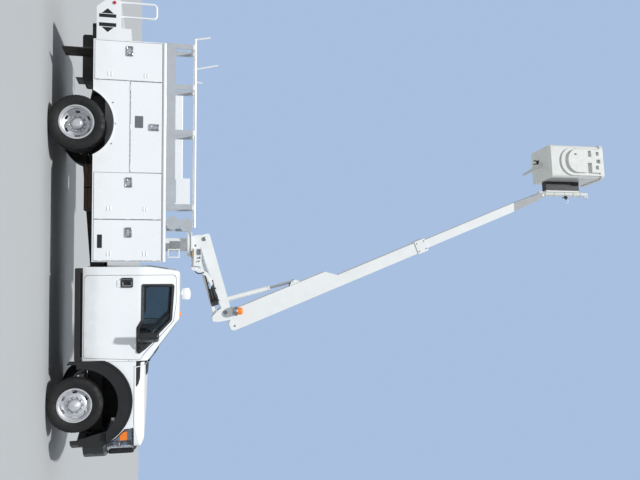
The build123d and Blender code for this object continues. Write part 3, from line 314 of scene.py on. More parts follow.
@dataclass(frozen=True)
class Finish:
    """A surface finish with slow colour patches, fine relief and road dust.

    Sizes are in millimetres. The dust lies thickest at the ground and fades out at dust_top.
    """

    name: str
    slot: str
    colour: str
    shade: str
    roughness: float
    metallic: float = 0.0
    ior: float = 1.5
    coat: float = 0.0
    patch: float = 500.0
    grain: float = 5.0
    relief: float = 0.04
    dust: float = 0.0
    dust_top: float = 1100.0
    dust_colour: str = "#8C8273"

    def material(self) -> bpy.types.Material:
        """Return the finish's material, made on first use."""
        found = bpy.data.materials.get(self.name)
        if found:
            return found
        made = bpy.data.materials.new(self.name)
        made.use_nodes = True
        tree = made.node_tree
        tree.nodes.clear()
        shader = add(tree, "ShaderNodeBsdfPrincipled", {"Metallic": self.metallic, "IOR": self.ior,
                                                        "Coat Weight": self.coat, "Coat Roughness": 0.08})
        add(tree, "ShaderNodeOutputMaterial", {"Surface": shader.outputs[0]})
        place = add(tree, "ShaderNodeTexCoord").outputs["Object"]
        self.paint(tree, shader, place)
        return made

    def paint(self, tree: bpy.types.NodeTree, shader: bpy.types.Node, place: bpy.types.NodeSocket) -> None:
        """Build the nodes that feed the shader.

        Args:
            tree: The material's node tree.
            shader: Its Principled shader.
            place: The object coordinates, in metres.
        """
        colour = self.dusted(tree, self.tint(tree, place), place)
        tree.links.new(colour, shader.inputs["Base Color"])
        tree.links.new(self.gloss(tree, place), shader.inputs["Roughness"])
        tree.links.new(self.bump(tree, place), shader.inputs["Normal"])

    def noise(self, tree: bpy.types.NodeTree, place: bpy.types.NodeSocket, size: float,
              detail: float = 4.0) -> bpy.types.NodeSocket:
        """Return a noise whose features are about size millimetres across."""
        return add(tree, "ShaderNodeTexNoise", {"Vector": place, "Scale": 1000 / size,
                                                "Detail": detail}).outputs[0]

    def tint(self, tree: bpy.types.NodeTree, place: bpy.types.NodeSocket) -> bpy.types.NodeSocket:
        """Return the colour before dust: two close shades in slow patches."""
        mix = add(tree, "ShaderNodeMix", {0: self.noise(tree, place, self.patch)}, data_type="RGBA")
        mix.inputs[6].default_value = linear(self.colour)
        mix.inputs[7].default_value = linear(self.shade)
        return mix.outputs[2]

    def dusted(self, tree: bpy.types.NodeTree, colour: bpy.types.NodeSocket,
               place: bpy.types.NodeSocket) -> bpy.types.NodeSocket:
        """Return the colour with road dust over it, thicker towards the ground."""
        if self.dust <= 0:
            return colour
        height = add(tree, "ShaderNodeSeparateXYZ", {0: place}).outputs[2]
        fade = add(tree, "ShaderNodeMapRange", {0: height, 1: 0.1, 2: self.dust_top * MM, 3: self.dust,
                                                4: 0.0})
        blotch = add(tree, "ShaderNodeMapRange",
                     {0: self.noise(tree, place, 160, 8), 1: 0.35, 2: 0.7, 3: 0.35, 4: 1.2})
        amount = add(tree, "ShaderNodeMath", {0: fade.outputs[0], 1: blotch.outputs[0]}, operation="MULTIPLY",
                     use_clamp=True)
        mix = add(tree, "ShaderNodeMix", {0: amount.outputs[0], 6: colour}, data_type="RGBA")
        mix.inputs[7].default_value = linear(self.dust_colour)
        return mix.outputs[2]

    def gloss(self, tree: bpy.types.NodeTree, place: bpy.types.NodeSocket) -> bpy.types.NodeSocket:
        """Return the roughness, a little uneven as on a used surface."""
        spread = add(tree, "ShaderNodeMapRange", {0: self.noise(tree, place, self.patch / 3), 1: 0.3, 2: 0.7,
                                                  3: self.roughness * 0.8,
                                                  4: min(1.0, self.roughness * 1.25)})
        return spread.outputs[0]

    def bump(self, tree: bpy.types.NodeTree, place: bpy.types.NodeSocket) -> bpy.types.NodeSocket:
        """Return the normal of the fine relief."""
        height = self.noise(tree, place, self.grain)
        return add(tree, "ShaderNodeBump", {"Height": height, "Strength": self.relief,
                                            "Distance": self.grain * MM * 0.3}).outputs[0]


@dataclass(frozen=True)
class Banded(Finish):
    """A finish that changes colour past a plane, for a node welded from differently finished parts."""

    axis: int = 2
    limit: float = 0.0
    beyond: str = "#F2F3F3"

    def tint(self, tree: bpy.types.NodeTree, place: bpy.types.NodeSocket) -> bpy.types.NodeSocket:
        """Return the base colour below the limit and the other colour beyond it."""
        base = Finish.tint(self, tree, place)
        along = add(tree, "ShaderNodeSeparateXYZ", {0: place}).outputs[self.axis]
        past = add(tree, "ShaderNodeMath", {0: along, 1: self.limit * MM}, operation="GREATER_THAN")
        mix = add(tree, "ShaderNodeMix", {0: past.outputs[0], 6: base}, data_type="RGBA")
        mix.inputs[7].default_value = linear(self.beyond)
        return mix.outputs[2]


@dataclass(frozen=True)
class Spun(Finish):
    """Bright sheet metal turned about a wheel's axis, with fine rings left by the turning."""

    centre_x: float = 0.0
    ring: float = 9.0

    def bump(self, tree: bpy.types.NodeTree, place: bpy.types.NodeSocket) -> bpy.types.NodeSocket:
        """Return the normal of the turning marks; drawn 9 mm apart so that they show."""
        moved = add(tree, "ShaderNodeVectorMath", {0: place, 1: at(self.centre_x, 0, 405)},
                    operation="SUBTRACT")
        flat = add(tree, "ShaderNodeVectorMath", {0: moved.outputs[0], 1: (1, 0, 1)}, operation="MULTIPLY")
        wave = add(tree, "ShaderNodeTexWave", {"Vector": flat.outputs[0],
                                               "Scale": 1 / (self.ring * MM) / 3.14,
                                               "Distortion": 0.6, "Detail": 3.0},
                   wave_type="RINGS", rings_direction="SPHERICAL")
        return add(tree, "ShaderNodeBump", {"Height": wave.outputs[1], "Strength": self.relief,
                                            "Distance": 0.0004}).outputs[0]


@dataclass(frozen=True)
class Glazing(Finish):
    """Tinted laminated or moulded clear material: light goes through, tinted by its body."""

    def paint(self, tree: bpy.types.NodeTree, shader: bpy.types.Node, place: bpy.types.NodeSocket) -> None:
        """Build a transmitting surface, its tint varying in faint patches."""
        shader.inputs["Transmission Weight"].default_value = 1.0
        tree.links.new(self.tint(tree, place), shader.inputs["Base Color"])
        tree.links.new(self.gloss(tree, place), shader.inputs["Roughness"])


@dataclass(frozen=True)
class TreadPlate(Finish):
    """Raised bars rolled in sheet metal, 30 mm apart in two crossed directions."""

    pitch: float = 36.0

    def bump(self, tree: bpy.types.NodeTree, place: bpy.types.NodeSocket) -> bpy.types.NodeSocket:
        """Return the normal of the raised bars."""
        bars = []
        for angle in (45, -45):
            turned = add(tree, "ShaderNodeMapping", {0: place, 2: (0, 0, math.radians(angle)),
                                                     3: (1000 / self.pitch, 1000 / self.pitch / 2.2, 1)})
            cell = add(tree, "ShaderNodeTexVoronoi",
                       {"Vector": turned.outputs[0], "Scale": 1.0, "Randomness": 0.0},
                       voronoi_dimensions="2D", distance="CHEBYCHEV")
            bar = add(tree, "ShaderNodeMapRange", {0: cell.outputs[0], 1: 0.12, 2: 0.2, 3: 1.0, 4: 0.0})
            bars.append(bar.outputs[0])
        both = add(tree, "ShaderNodeMath", {0: bars[0], 1: bars[1]}, operation="MAXIMUM")
        return add(tree, "ShaderNodeBump", {"Height": both.outputs[0], "Strength": self.relief,
                                            "Distance": 0.002}).outputs[0]


@dataclass(frozen=True)
class Timber(Finish):
    """Weathered softwood with grain along the truck."""

    def tint(self, tree: bpy.types.NodeTree, place: bpy.types.NodeSocket) -> bpy.types.NodeSocket:
        """Return brown growth bands about 9 mm apart, stretched along x."""
        long_way = add(tree, "ShaderNodeMapping", {0: place, 3: (0.08, 1.0, 1.0)})
        band = add(tree, "ShaderNodeTexWave", {"Vector": long_way.outputs[0], "Scale": 35.0,
                                               "Distortion": 6.0,
                                               "Detail": 3.0}, bands_direction="Z")
        mix = add(tree, "ShaderNodeMix", {0: band.outputs[1]}, data_type="RGBA")
        mix.inputs[6].default_value = linear(self.colour)
        mix.inputs[7].default_value = linear(self.shade)
        return mix.outputs[2]


# Baked two-part enamel over steel and aluminium sheet: smooth and glossy, with faint orange peel and a thin
# road film low down
ENAMEL = Finish("white baked enamel", "white_paint", "#F1F3F4", "#E9ECEE", 0.24, coat=0.5, patch=900, grain=9,
                relief=0.02, dust=0.28, dust_top=950)
# The same enamel on the lift gear, with a film of grease and handling marks
LIFT_ENAMEL = Finish("white lift enamel", "white_paint", "#EEF0EF", "#DFE2E1", 0.34, coat=0.25, patch=260,
                     grain=7, relief=0.03)
# Chassis black: sprayed alkyd, dull and dusty
CHASSIS = Finish("black chassis enamel", "black_paint", "#0E0F10", "#161617", 0.5, patch=300, grain=8,
                 relief=0.08, dust=0.14, dust_top=1000)
# Cast iron axle parts: rough sand skin
CASTING = Finish("sand cast iron", "cast", "#161618", "#221F1D", 0.7, metallic=0.2, patch=120, grain=6,
                 relief=0.2, dust=0.3, dust_top=900)
# Moulded polypropylene: near black, with a fine leather-like grain and broad highlights
MOULDED = Finish("grained black polypropylene", "black_plastic", "#111214", "#1A1B1E", 0.5, patch=350,
                 grain=4, relief=0.12, dust=0.06, dust_top=900)
# ABS mirror shell: black, weathered a little lighter than the trim
MIRROR_SHELL = Finish("weathered black ABS", "black_plastic", "#25272B", "#1E2023", 0.45, patch=200, grain=4,
                      relief=0.08)
# Deep black and nearly matt
RUBBER = Finish("carbon black rubber", "tyre_rubber", "#0B0B0C", "#121213", 0.66, patch=180, grain=3,
                relief=0.1, dust=0.04, dust_top=700, dust_colour="#6E675C")
# Flat black sheet, dusty low down
FLAP_RUBBER = Finish("sheet rubber", "rubber", "#0D0D0E", "#151516", 0.65, patch=150, grain=5, relief=0.1,
                     dust=0.4, dust_top=800)
# Black hose cover
HOSE = Finish("hydraulic hose rubber", "rubber", "#0F1012", "#1A1A1C", 0.5, patch=60, grain=3, relief=0.15)
# Dull dark edging round the glass
SEAL = Finish("extruded window rubber", "black_plastic", "#101113", "#191A1C", 0.55, patch=80, grain=4,
              relief=0.05)
# Pressed steel wheel with a bright turned face
FRONT_WHEEL = Spun("bright spun steel front", "bare_steel", "#E8E9EC", "#D6D8DC", 0.34, metallic=0.6,
                   patch=120, relief=0.25, dust=0.2, dust_top=800, centre_x=4186.0)
# The same turned face on the twin wheels, slightly duller and dustier
REAR_WHEEL = Spun("bright spun steel rear", "bare_steel", "#E4E5E8", "#CFD1D5", 0.36, metallic=0.6, patch=120,
                  relief=0.25, dust=0.25, dust_top=800, centre_x=0.0)
# A sharp mirror on the rods
CHROME = Finish("hard chrome plate", "chrome_rod", "#E2E3E5", "#D2D4D7", 0.09, metallic=1.0, patch=90,
                grain=30, relief=0.01)
# Bright polished metal with darker patches
LATCH_STEEL = Finish("polished stainless sheet", "bare_steel", "#BFC1C4", "#8F9296", 0.2, metallic=1.0,
                     patch=40, grain=12, relief=0.05)
# Dull grey plated metal on the small fastenings
ZINC = Finish("zinc plated steel", "bare_steel", "#A9ABAE", "#8C8F93", 0.4, metallic=1.0, patch=60, grain=5,
              relief=0.08)
# Mill finish rack: grey extrusion below, white painted tube above the posts' tops
RACK = Banded("mill finish aluminium", "aluminium", "#C4C8CC", "#B0B4B8", 0.42, metallic=0.3, patch=140,
              grain=6, relief=0.08, limit=2096.0)
# Slightly warm off-white with a soft gloss
GELCOAT = Finish("white gelcoat on glass fibre", "fibreglass", "#E4E5E1", "#D6D8D3", 0.3, coat=0.3, patch=240,
                 grain=14, relief=0.06)
# White glass fibre below, bare grey above the limit height
STAGE_GELCOAT = Banded("white and bare glass fibre", "fibreglass", "#EDEFEE", "#E0E3E2", 0.32, coat=0.2,
                       patch=240, grain=10, relief=0.04, limit=8050.0, beyond="#A9ABAC")
# Even dark coating with a soft sheen; on the sheet round the bucket's mount plate it is painted shade
DARK_SHEET = Finish("black powder coat", "black_paint", "#1C1D20", "#26272A", 0.45, patch=120, grain=4,
                    relief=0.1)
# White paint over raised treads, dusty
FLOOR_PLATE = TreadPlate("painted tread plate", "white_paint", "#D9DBDC", "#C7C9CA", 0.45, patch=400,
                         relief=0.5, dust=0.3, dust_top=1600)
# Glossy white, dulled by dust
SHELF_PAINT = Finish("white shelf enamel", "white_paint", "#EEF0F1", "#E2E5E7", 0.3, coat=0.3, patch=500,
                     grain=9, relief=0.02, dust=0.35, dust_top=1000)
# Grey-green glass that darkens what is behind it
TINTED = Glazing("tinted safety glass", "glass", "#8FA0A5", "#84969B", 0.02, ior=1.52)
# Clear lens with a crisp highlight
CLEAR_LENS = Glazing("clear polycarbonate", "lamp", "#F4F6F8", "#E8ECEF", 0.03, ior=1.58)
# Red lens at the rear, amber at the front
AMBER_SOLID = Banded("amber and red acrylic", "amber", "#C4171A", "#A81014", 0.2, coat=0.6, patch=40, grain=8,
                     relief=0.1, axis=0, limit=0.0, beyond="#F08A1C")
# Strong orange, faintly rippled
AMBER_GLOW = Finish("moulded amber acrylic", "amber", "#FF8A1E", "#F2760E", 0.18, coat=0.6, patch=30, grain=9,
                    relief=0.12)
# Dark grained trim without shine
INTERIOR = Finish("grained dashboard vinyl", "interior", "#2C2D31", "#37383C", 0.6, patch=200, grain=4,
                  relief=0.15)
# Mid grey with fine grain and a low sheen
SEAT_VINYL = Finish("grey seat vinyl", "interior", "#55575C", "#4A4C51", 0.5, patch=160, grain=4, relief=0.18)
# Flat black film, almost smooth
BLACK_MARK = Finish("black vinyl film", "black_plastic", "#121214", "#1A1A1C", 0.4, patch=100, grain=20,
                    relief=0.01)
# Dark brown wood, dry and weathered
WOOD = Timber("weathered softwood", "interior", "#33231A", "#4A3426", 0.8, patch=100, grain=6, relief=0.3)
# A clean mirror
MIRROR_GLASS = Finish("silvered mirror glass", "chrome_rod", "#DADDE0", "#CED2D6", 0.03, metallic=1.0,
                      patch=300, grain=60, relief=0.005)
# Mid grey paint with a hammered dapple
PANEL_GREY = Finish("grey hammered enamel", "aluminium", "#9A9EA2", "#8B8F93", 0.4, patch=60, grain=7,
                    relief=0.12)
# Tan primer
PRIMER_TAN = Finish("tan primed casting", "cast", "#A58E6B", "#8E7858", 0.55, patch=50, grain=5, relief=0.15)
# Soft silver, less sharp than chrome
LAMP_SILVER = Finish("silvered lamp housing", "chrome_rod", "#A7ACB3", "#959AA2", 0.3, metallic=0.7, patch=60,
                     grain=12, relief=0.05)
# A bright mirror inside the lamps
CHROME_BOWL = Finish("vacuum plated reflector", "chrome_rod", "#E9EBEE", "#DDE0E4", 0.06, metallic=1.0,
                     patch=60, grain=20, relief=0.02)
# Grey satin metal
PLATE_GREY = Finish("blank anodised plate", "aluminium", "#8E9094", "#7C7E83", 0.4, metallic=0.8, patch=50,
                    grain=6, relief=0.05)


# The studio

@dataclass
class Studio:
    """Floor, light and camera. The camera is on its side, as the photograph's was."""

    eye: Point2 = (1975.6, -12122.6)
    eye_height: float = 1569.7
    yaw: float = 1.36
    pitch: float = 12.96
    roll: float = 0.45
    lens: float = 39.95
    sky: str = "#A9C0E0"

    def camera(self) -> None:
        """Make the camera at the photograph's place, its right edge towards the sky."""
        yaw, pitch, roll = (math.radians(a) for a in (self.yaw, self.pitch, self.roll))
        level = Vector((-math.sin(yaw), math.cos(yaw), 0))
        right = Vector((math.cos(yaw), math.sin(yaw), 0))
        ahead = level * math.cos(pitch) + Vector((0, 0, 1)) * math.sin(pitch)
        above = Vector((0, 0, 1)) * math.cos(pitch) - level * math.sin(pitch)
        along = right * math.cos(roll) + above * math.sin(roll)
        upward = above * math.cos(roll) - right * math.sin(roll)
        data = bpy.data.cameras.new("camera")
        data.lens, data.sensor_width = self.lens, 36.0
        data.clip_end = 200.0
        obj = bpy.data.objects.new("camera", data)
        axes = Matrix((upward, -along, -ahead)).transposed()
        obj.matrix_world = Matrix.Translation(at(*self.eye, self.eye_height)) @ axes.to_4x4()
        bpy.context.scene.collection.objects.link(obj)
        bpy.context.scene.camera = obj

    def floor(self) -> None:
        """Lay a wide pale floor with a faint fine grain."""
        mesh = bmesh.new()
        bmesh.ops.create_grid(mesh, x_segments=8, y_segments=8, size=60)
        obj = from_bmesh("floor", mesh)
        made = bpy.data.materials.new("pale floor")
        made.use_nodes = True
        tree = made.node_tree
        shader = tree.nodes["Principled BSDF"]
        shader.inputs["Roughness"].default_value = 0.85
        place = add(tree, "ShaderNodeTexCoord").outputs["Object"]
        grit = add(tree, "ShaderNodeTexNoise", {"Vector": place, "Scale": 60.0, "Detail": 6.0})
        mix = add(tree, "ShaderNodeMix", {0: grit.outputs[0]}, data_type="RGBA")
        mix.inputs[6].default_value = linear("#A9ABAC")
        mix.inputs[7].default_value = linear("#B9BBBB")
        tree.links.new(mix.outputs[2], shader.inputs["Base Color"])
        obj.data.materials.append(made)

    def sky_light(self) -> None:
        """Light the scene by a soft pale world; rays that see the backdrop get its plain colour."""
        world = bpy.data.worlds.new("sky")
        bpy.context.scene.world = world
        world.use_nodes = True
        tree = world.node_tree
        tree.nodes.clear()
        rays = add(tree, "ShaderNodeLightPath")
        seen = add(tree, "ShaderNodeMath", {0: rays.outputs["Is Camera Ray"],
                                            1: rays.outputs["Is Transmission Ray"]},
                   operation="MAXIMUM")
        soft = add(tree, "ShaderNodeBackground", {"Color": linear("#E2EAF4"), "Strength": 0.5})
        plain = add(tree, "ShaderNodeBackground", {"Color": linear(self.sky), "Strength": 1.0})
        mix = add(tree, "ShaderNodeMixShader", {0: seen.outputs[0], 1: soft.outputs[0], 2: plain.outputs[0]})
        add(tree, "ShaderNodeOutputWorld", {"Surface": mix.outputs[0]})

    def lamps(self) -> None:
        """Hang a sun from behind and above on the near side, and a weak fill from the far side."""
        for name, power, spread, towards in (("key", 3.1, 3.0, (0.2, 0.6, -0.8)),
                                             ("fill", 0.3, 30.0, (-0.5, -0.6, -0.35))):
            data = bpy.data.lights.new(name, "SUN")
            data.energy, data.angle = power, math.radians(spread)
            obj = bpy.data.objects.new(name, data)
            obj.rotation_mode = "QUATERNION"
            obj.rotation_quaternion = Vector(towards).to_track_quat("-Z", "Y")
            bpy.context.scene.collection.objects.link(obj)

    def build(self) -> None:
        """Make the whole studio."""
        bpy.context.scene.view_settings.view_transform = "Standard"
        self.camera()
        self.floor()
        self.sky_light()
        self.lamps()


# Finishes of the carried-over nodes

@dataclass
class Dressing:
    """The finish of each node of the frame that keeps its own shape."""

    finishes: dict[str, Finish] = field(default_factory=lambda: {
        "frame_rails": CHASSIS, "cargo_floor": FLOOR_PLATE, "engine_block": CASTING, "rear_axle": CASTING,
        "front_axle": CASTING, "cab_glass": TINTED, "cab_interior": INTERIOR, "grille": MOULDED,
        "headlamps": CLEAR_LENS, "fender_flares": MOULDED, "front_bumper": MOULDED, "running_boards": MOULDED,
        "mud_flaps": FLAP_RUBBER, "body_rack": RACK, "marker_lamps": AMBER_SOLID, "door_glass_left": TINTED,
        "door_glass_right": TINTED, "mirror_left": MIRROR_SHELL, "mirror_right": MIRROR_SHELL,
        "knuckle_left": CASTING, "knuckle_right": CASTING, "rim_front_left": FRONT_WHEEL,
        "rim_front_right": FRONT_WHEEL, "rims_rear_left": REAR_WHEEL, "rims_rear_right": REAR_WHEEL,
        "tyre_front_left": RUBBER, "tyre_front_right": RUBBER, "tyres_rear_left": RUBBER,
        "tyres_rear_right": RUBBER, "arm_cylinder_rod": CHROME, "boom_cylinder_rod": CHROME,
        "beacon": AMBER_GLOW, "boom_inner": STAGE_GELCOAT, "bucket": GELCOAT, "tail_shelf": SHELF_PAINT,
        "turntable": LIFT_ENAMEL, "pedestal": LIFT_ENAMEL, "arm": LIFT_ENAMEL, "link": LIFT_ENAMEL,
        "elbow": LIFT_ENAMEL, "boom_base": LIFT_ENAMEL, "arm_cylinder_barrel": LIFT_ENAMEL,
        "boom_cylinder_barrel": LIFT_ENAMEL, "bucket_column": LIFT_ENAMEL,
    })

    def build(self) -> None:
        """Give every node its finish; body panels take the white enamel."""
        for name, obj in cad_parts.items():
            obj.data.materials.clear()
            obj.data.materials.append(self.finishes.get(name, ENAMEL).material())


# Tyres

@dataclass
class Tyre:
    """A radial truck tyre: turned carcass with a block tread."""

    radius: float = 405.0
    width: float = 226.0
    seat: float = 247.0
    groove: float = 11.0
    pitches: int = 56
    steps_per_pitch: int = 4

    def section(self) -> list[tuple[float, float, float]]:
        """Return the section as pairs of y and radius, with the tread's depth share at each."""
        half = self.width / 2
        wall = [(half - 31, self.seat, 0), (half - 16, self.seat + 6, 0), (half - 13, self.seat + 24, 0),
                (half - 6, self.seat + 40, 0), (half - 2, self.seat + 62, 0), (half, self.seat + 84, 0),
                (half - 3, self.seat + 108, 0), (half - 9, self.radius - 27, 0),
                (half - 13, self.radius - 24, 0),
                (half - 15, self.radius - 12, 0.6), (half - 19, self.radius - 4, 1)]
        tread = []
        edge = half - 24
        ribs = 5
        for rib in range(ribs):
            start = edge - 2 * edge * rib / ribs
            end = edge - 2 * edge * (rib + 1) / ribs
            crown = [self.radius - 3 * (abs(y) / edge) ** 2.2 for y in (start, end)]
            if rib:
                tread += [(start - 3.5, crown[0] - 0.4, 2), (start - 5.5, crown[0], 1)]
            else:
                tread += [(start, crown[0], 1)]
            tread += [((start + end) / 2, (crown[0] + crown[1]) / 2, 1)]
            if rib < ribs - 1:
                tread += [(end + 5.5, crown[1], 1), (end + 3.5, crown[1] - 0.4, 2)]
            else:
                tread += [(end, crown[1], 1)]
        return wall + tread + [(-y, r, s) for y, r, s in reversed(wall)]

    def add_to(self, mesh: bmesh.types.BMesh, x: float, y: float) -> None:
        """Add the tyre, with its centre at x and y millimetres, to a bmesh."""
        steps = self.pitches * self.steps_per_pitch
        section = self.section()
        rings = []
        for k in range(steps):
            ring = []
            for i, (across, radius, share) in enumerate(section):
                phase = (k + (2 if across > 0 else 0)) % self.steps_per_pitch
                cut = 0.0
                if share == 2:
                    cut = self.groove
                elif share > 0 and phase == 0:
                    cut = self.groove * 0.55 * share
                angle = 2 * math.pi * (k + across * 0.012) / steps if share else 2 * math.pi * k / steps
                r = radius - cut
                ring.append(at(x + r * math.cos(angle), y + across, self.radius + r * math.sin(angle)))
            rings.append(ring)
        made = [[mesh.verts.new(p) for p in ring] for ring in rings]
        for k in range(steps):
            low, high = made[k], made[(k + 1) % steps]
            for i in range(len(section) - 1):
                mesh.faces.new((low[i], low[i + 1], high[i + 1], high[i]))
            mesh.faces.new((low[-1], low[0], high[0], high[-1]))


@dataclass
class RunningGear:
    """Tyres, wheel bolts and the pads under the body."""

    tyre: Tyre = field(default_factory=Tyre)
    front_x: float = 4186.0
    front_y: float = 950.0
    rear_y: tuple[float, float] = (811.0, 1069.0)

    def tyres(self) -> None:
        """Build the tyres in place of the plain ones."""
        for hand in Hand:
            sets = (("front", self.front_x, (self.front_y,), f"tyre_front_{hand.word}",
                     f"wheel_front_{hand.word}"),
                    ("rear", 0.0, self.rear_y, f"tyres_rear_{hand.word}", f"wheels_rear_{hand.word}"))
            for end, x, places, node, body in sets:
                mesh = bmesh.new()
                for y in places:
                    self.tyre.add_to(mesh, x, y * hand.value)
                obj = finish_piece(from_bmesh(f"tread_{end}_{hand.word}", mesh), RUBBER, body)
                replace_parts(obj, node)

    def hubs(self) -> None:
        """Build the domed hub covers and the plated nut covers round them."""
        for hand in Hand:
            s = hand.value
            for end, x, low, high, r, nut in (("front", self.front_x, 1009, 1100, 92, (1006, 1046)),
                                              ("rear", 0.0, 953, 1094, 84, (951, 984))):
                body = f"wheel_front_{hand.word}" if end == "front" else f"wheels_rear_{hand.word}"
                mesh = bmesh.new()
                add_round(mesh, at(x, s * low, 405), at(x, s * high, 405),
                          ((0, r), (0.42, r), (0.46, r - 4), (0.7, r - 6), (0.86, r * 0.78), (0.95, r * 0.6),
                           (0.97, r * 0.34), (1, r * 0.3)), 40)
                wheel = FRONT_WHEEL if end == "front" else REAR_WHEEL
                finish_piece(from_bmesh(f"hub_cover_{end}_{hand.word}", mesh), wheel, body)
                nuts = bmesh.new()
                for k in range(10):
                    angle = math.radians(36 * k + 18)
                    px, pz = x + 112 * math.cos(angle), 405 + 112 * math.sin(angle)
                    add_round(nuts, at(px, s * nut[0], pz), at(px, s * nut[1], pz),
                              ((0, 19), (0.12, 19), (0.16, 16), (0.7, 15), (0.92, 10), (1, 4)), 16)
                finish_piece(from_bmesh(f"nut_covers_{end}_{hand.word}", nuts), CHROME, body)

    def pads(self) -> None:
        """Hang the timber pads that lie in a rack under each side of the body."""
        for hand in Hand:
            s = hand.value
            mesh = bmesh.new()
            for x in (631, 963):
                for z in (520, 575):
                    add_prism(mesh, Plane.SIDE, rounded(box_corners((x, x + 318), (z, z + 48), 5), 2),
                              s * 720, s * 1090)
            finish_piece(from_bmesh(f"timber_pads_{hand.word}", mesh), WOOD, "chassis", bevel=2)
            tray = bmesh.new()
            add_prism(tray, Plane.SIDE, box_corners((615, 1297), (512, 519)), s * 715, s * 1100)
            for x in (612, 1290):
                add_prism(tray, Plane.SIDE, box_corners((x, x + 10), (512, 645)), s * 800, s * 840)
                add_prism(tray, Plane.SIDE, box_corners((x, x + 10), (512, 645)), s * 1040, s * 1080)
            finish_piece(from_bmesh(f"pad_tray_{hand.word}", tray), CHASSIS, "chassis")

    def build(self) -> None:
        """Make the running gear's pieces."""
        self.tyres()
        self.hubs()
        self.pads()


# Service body details

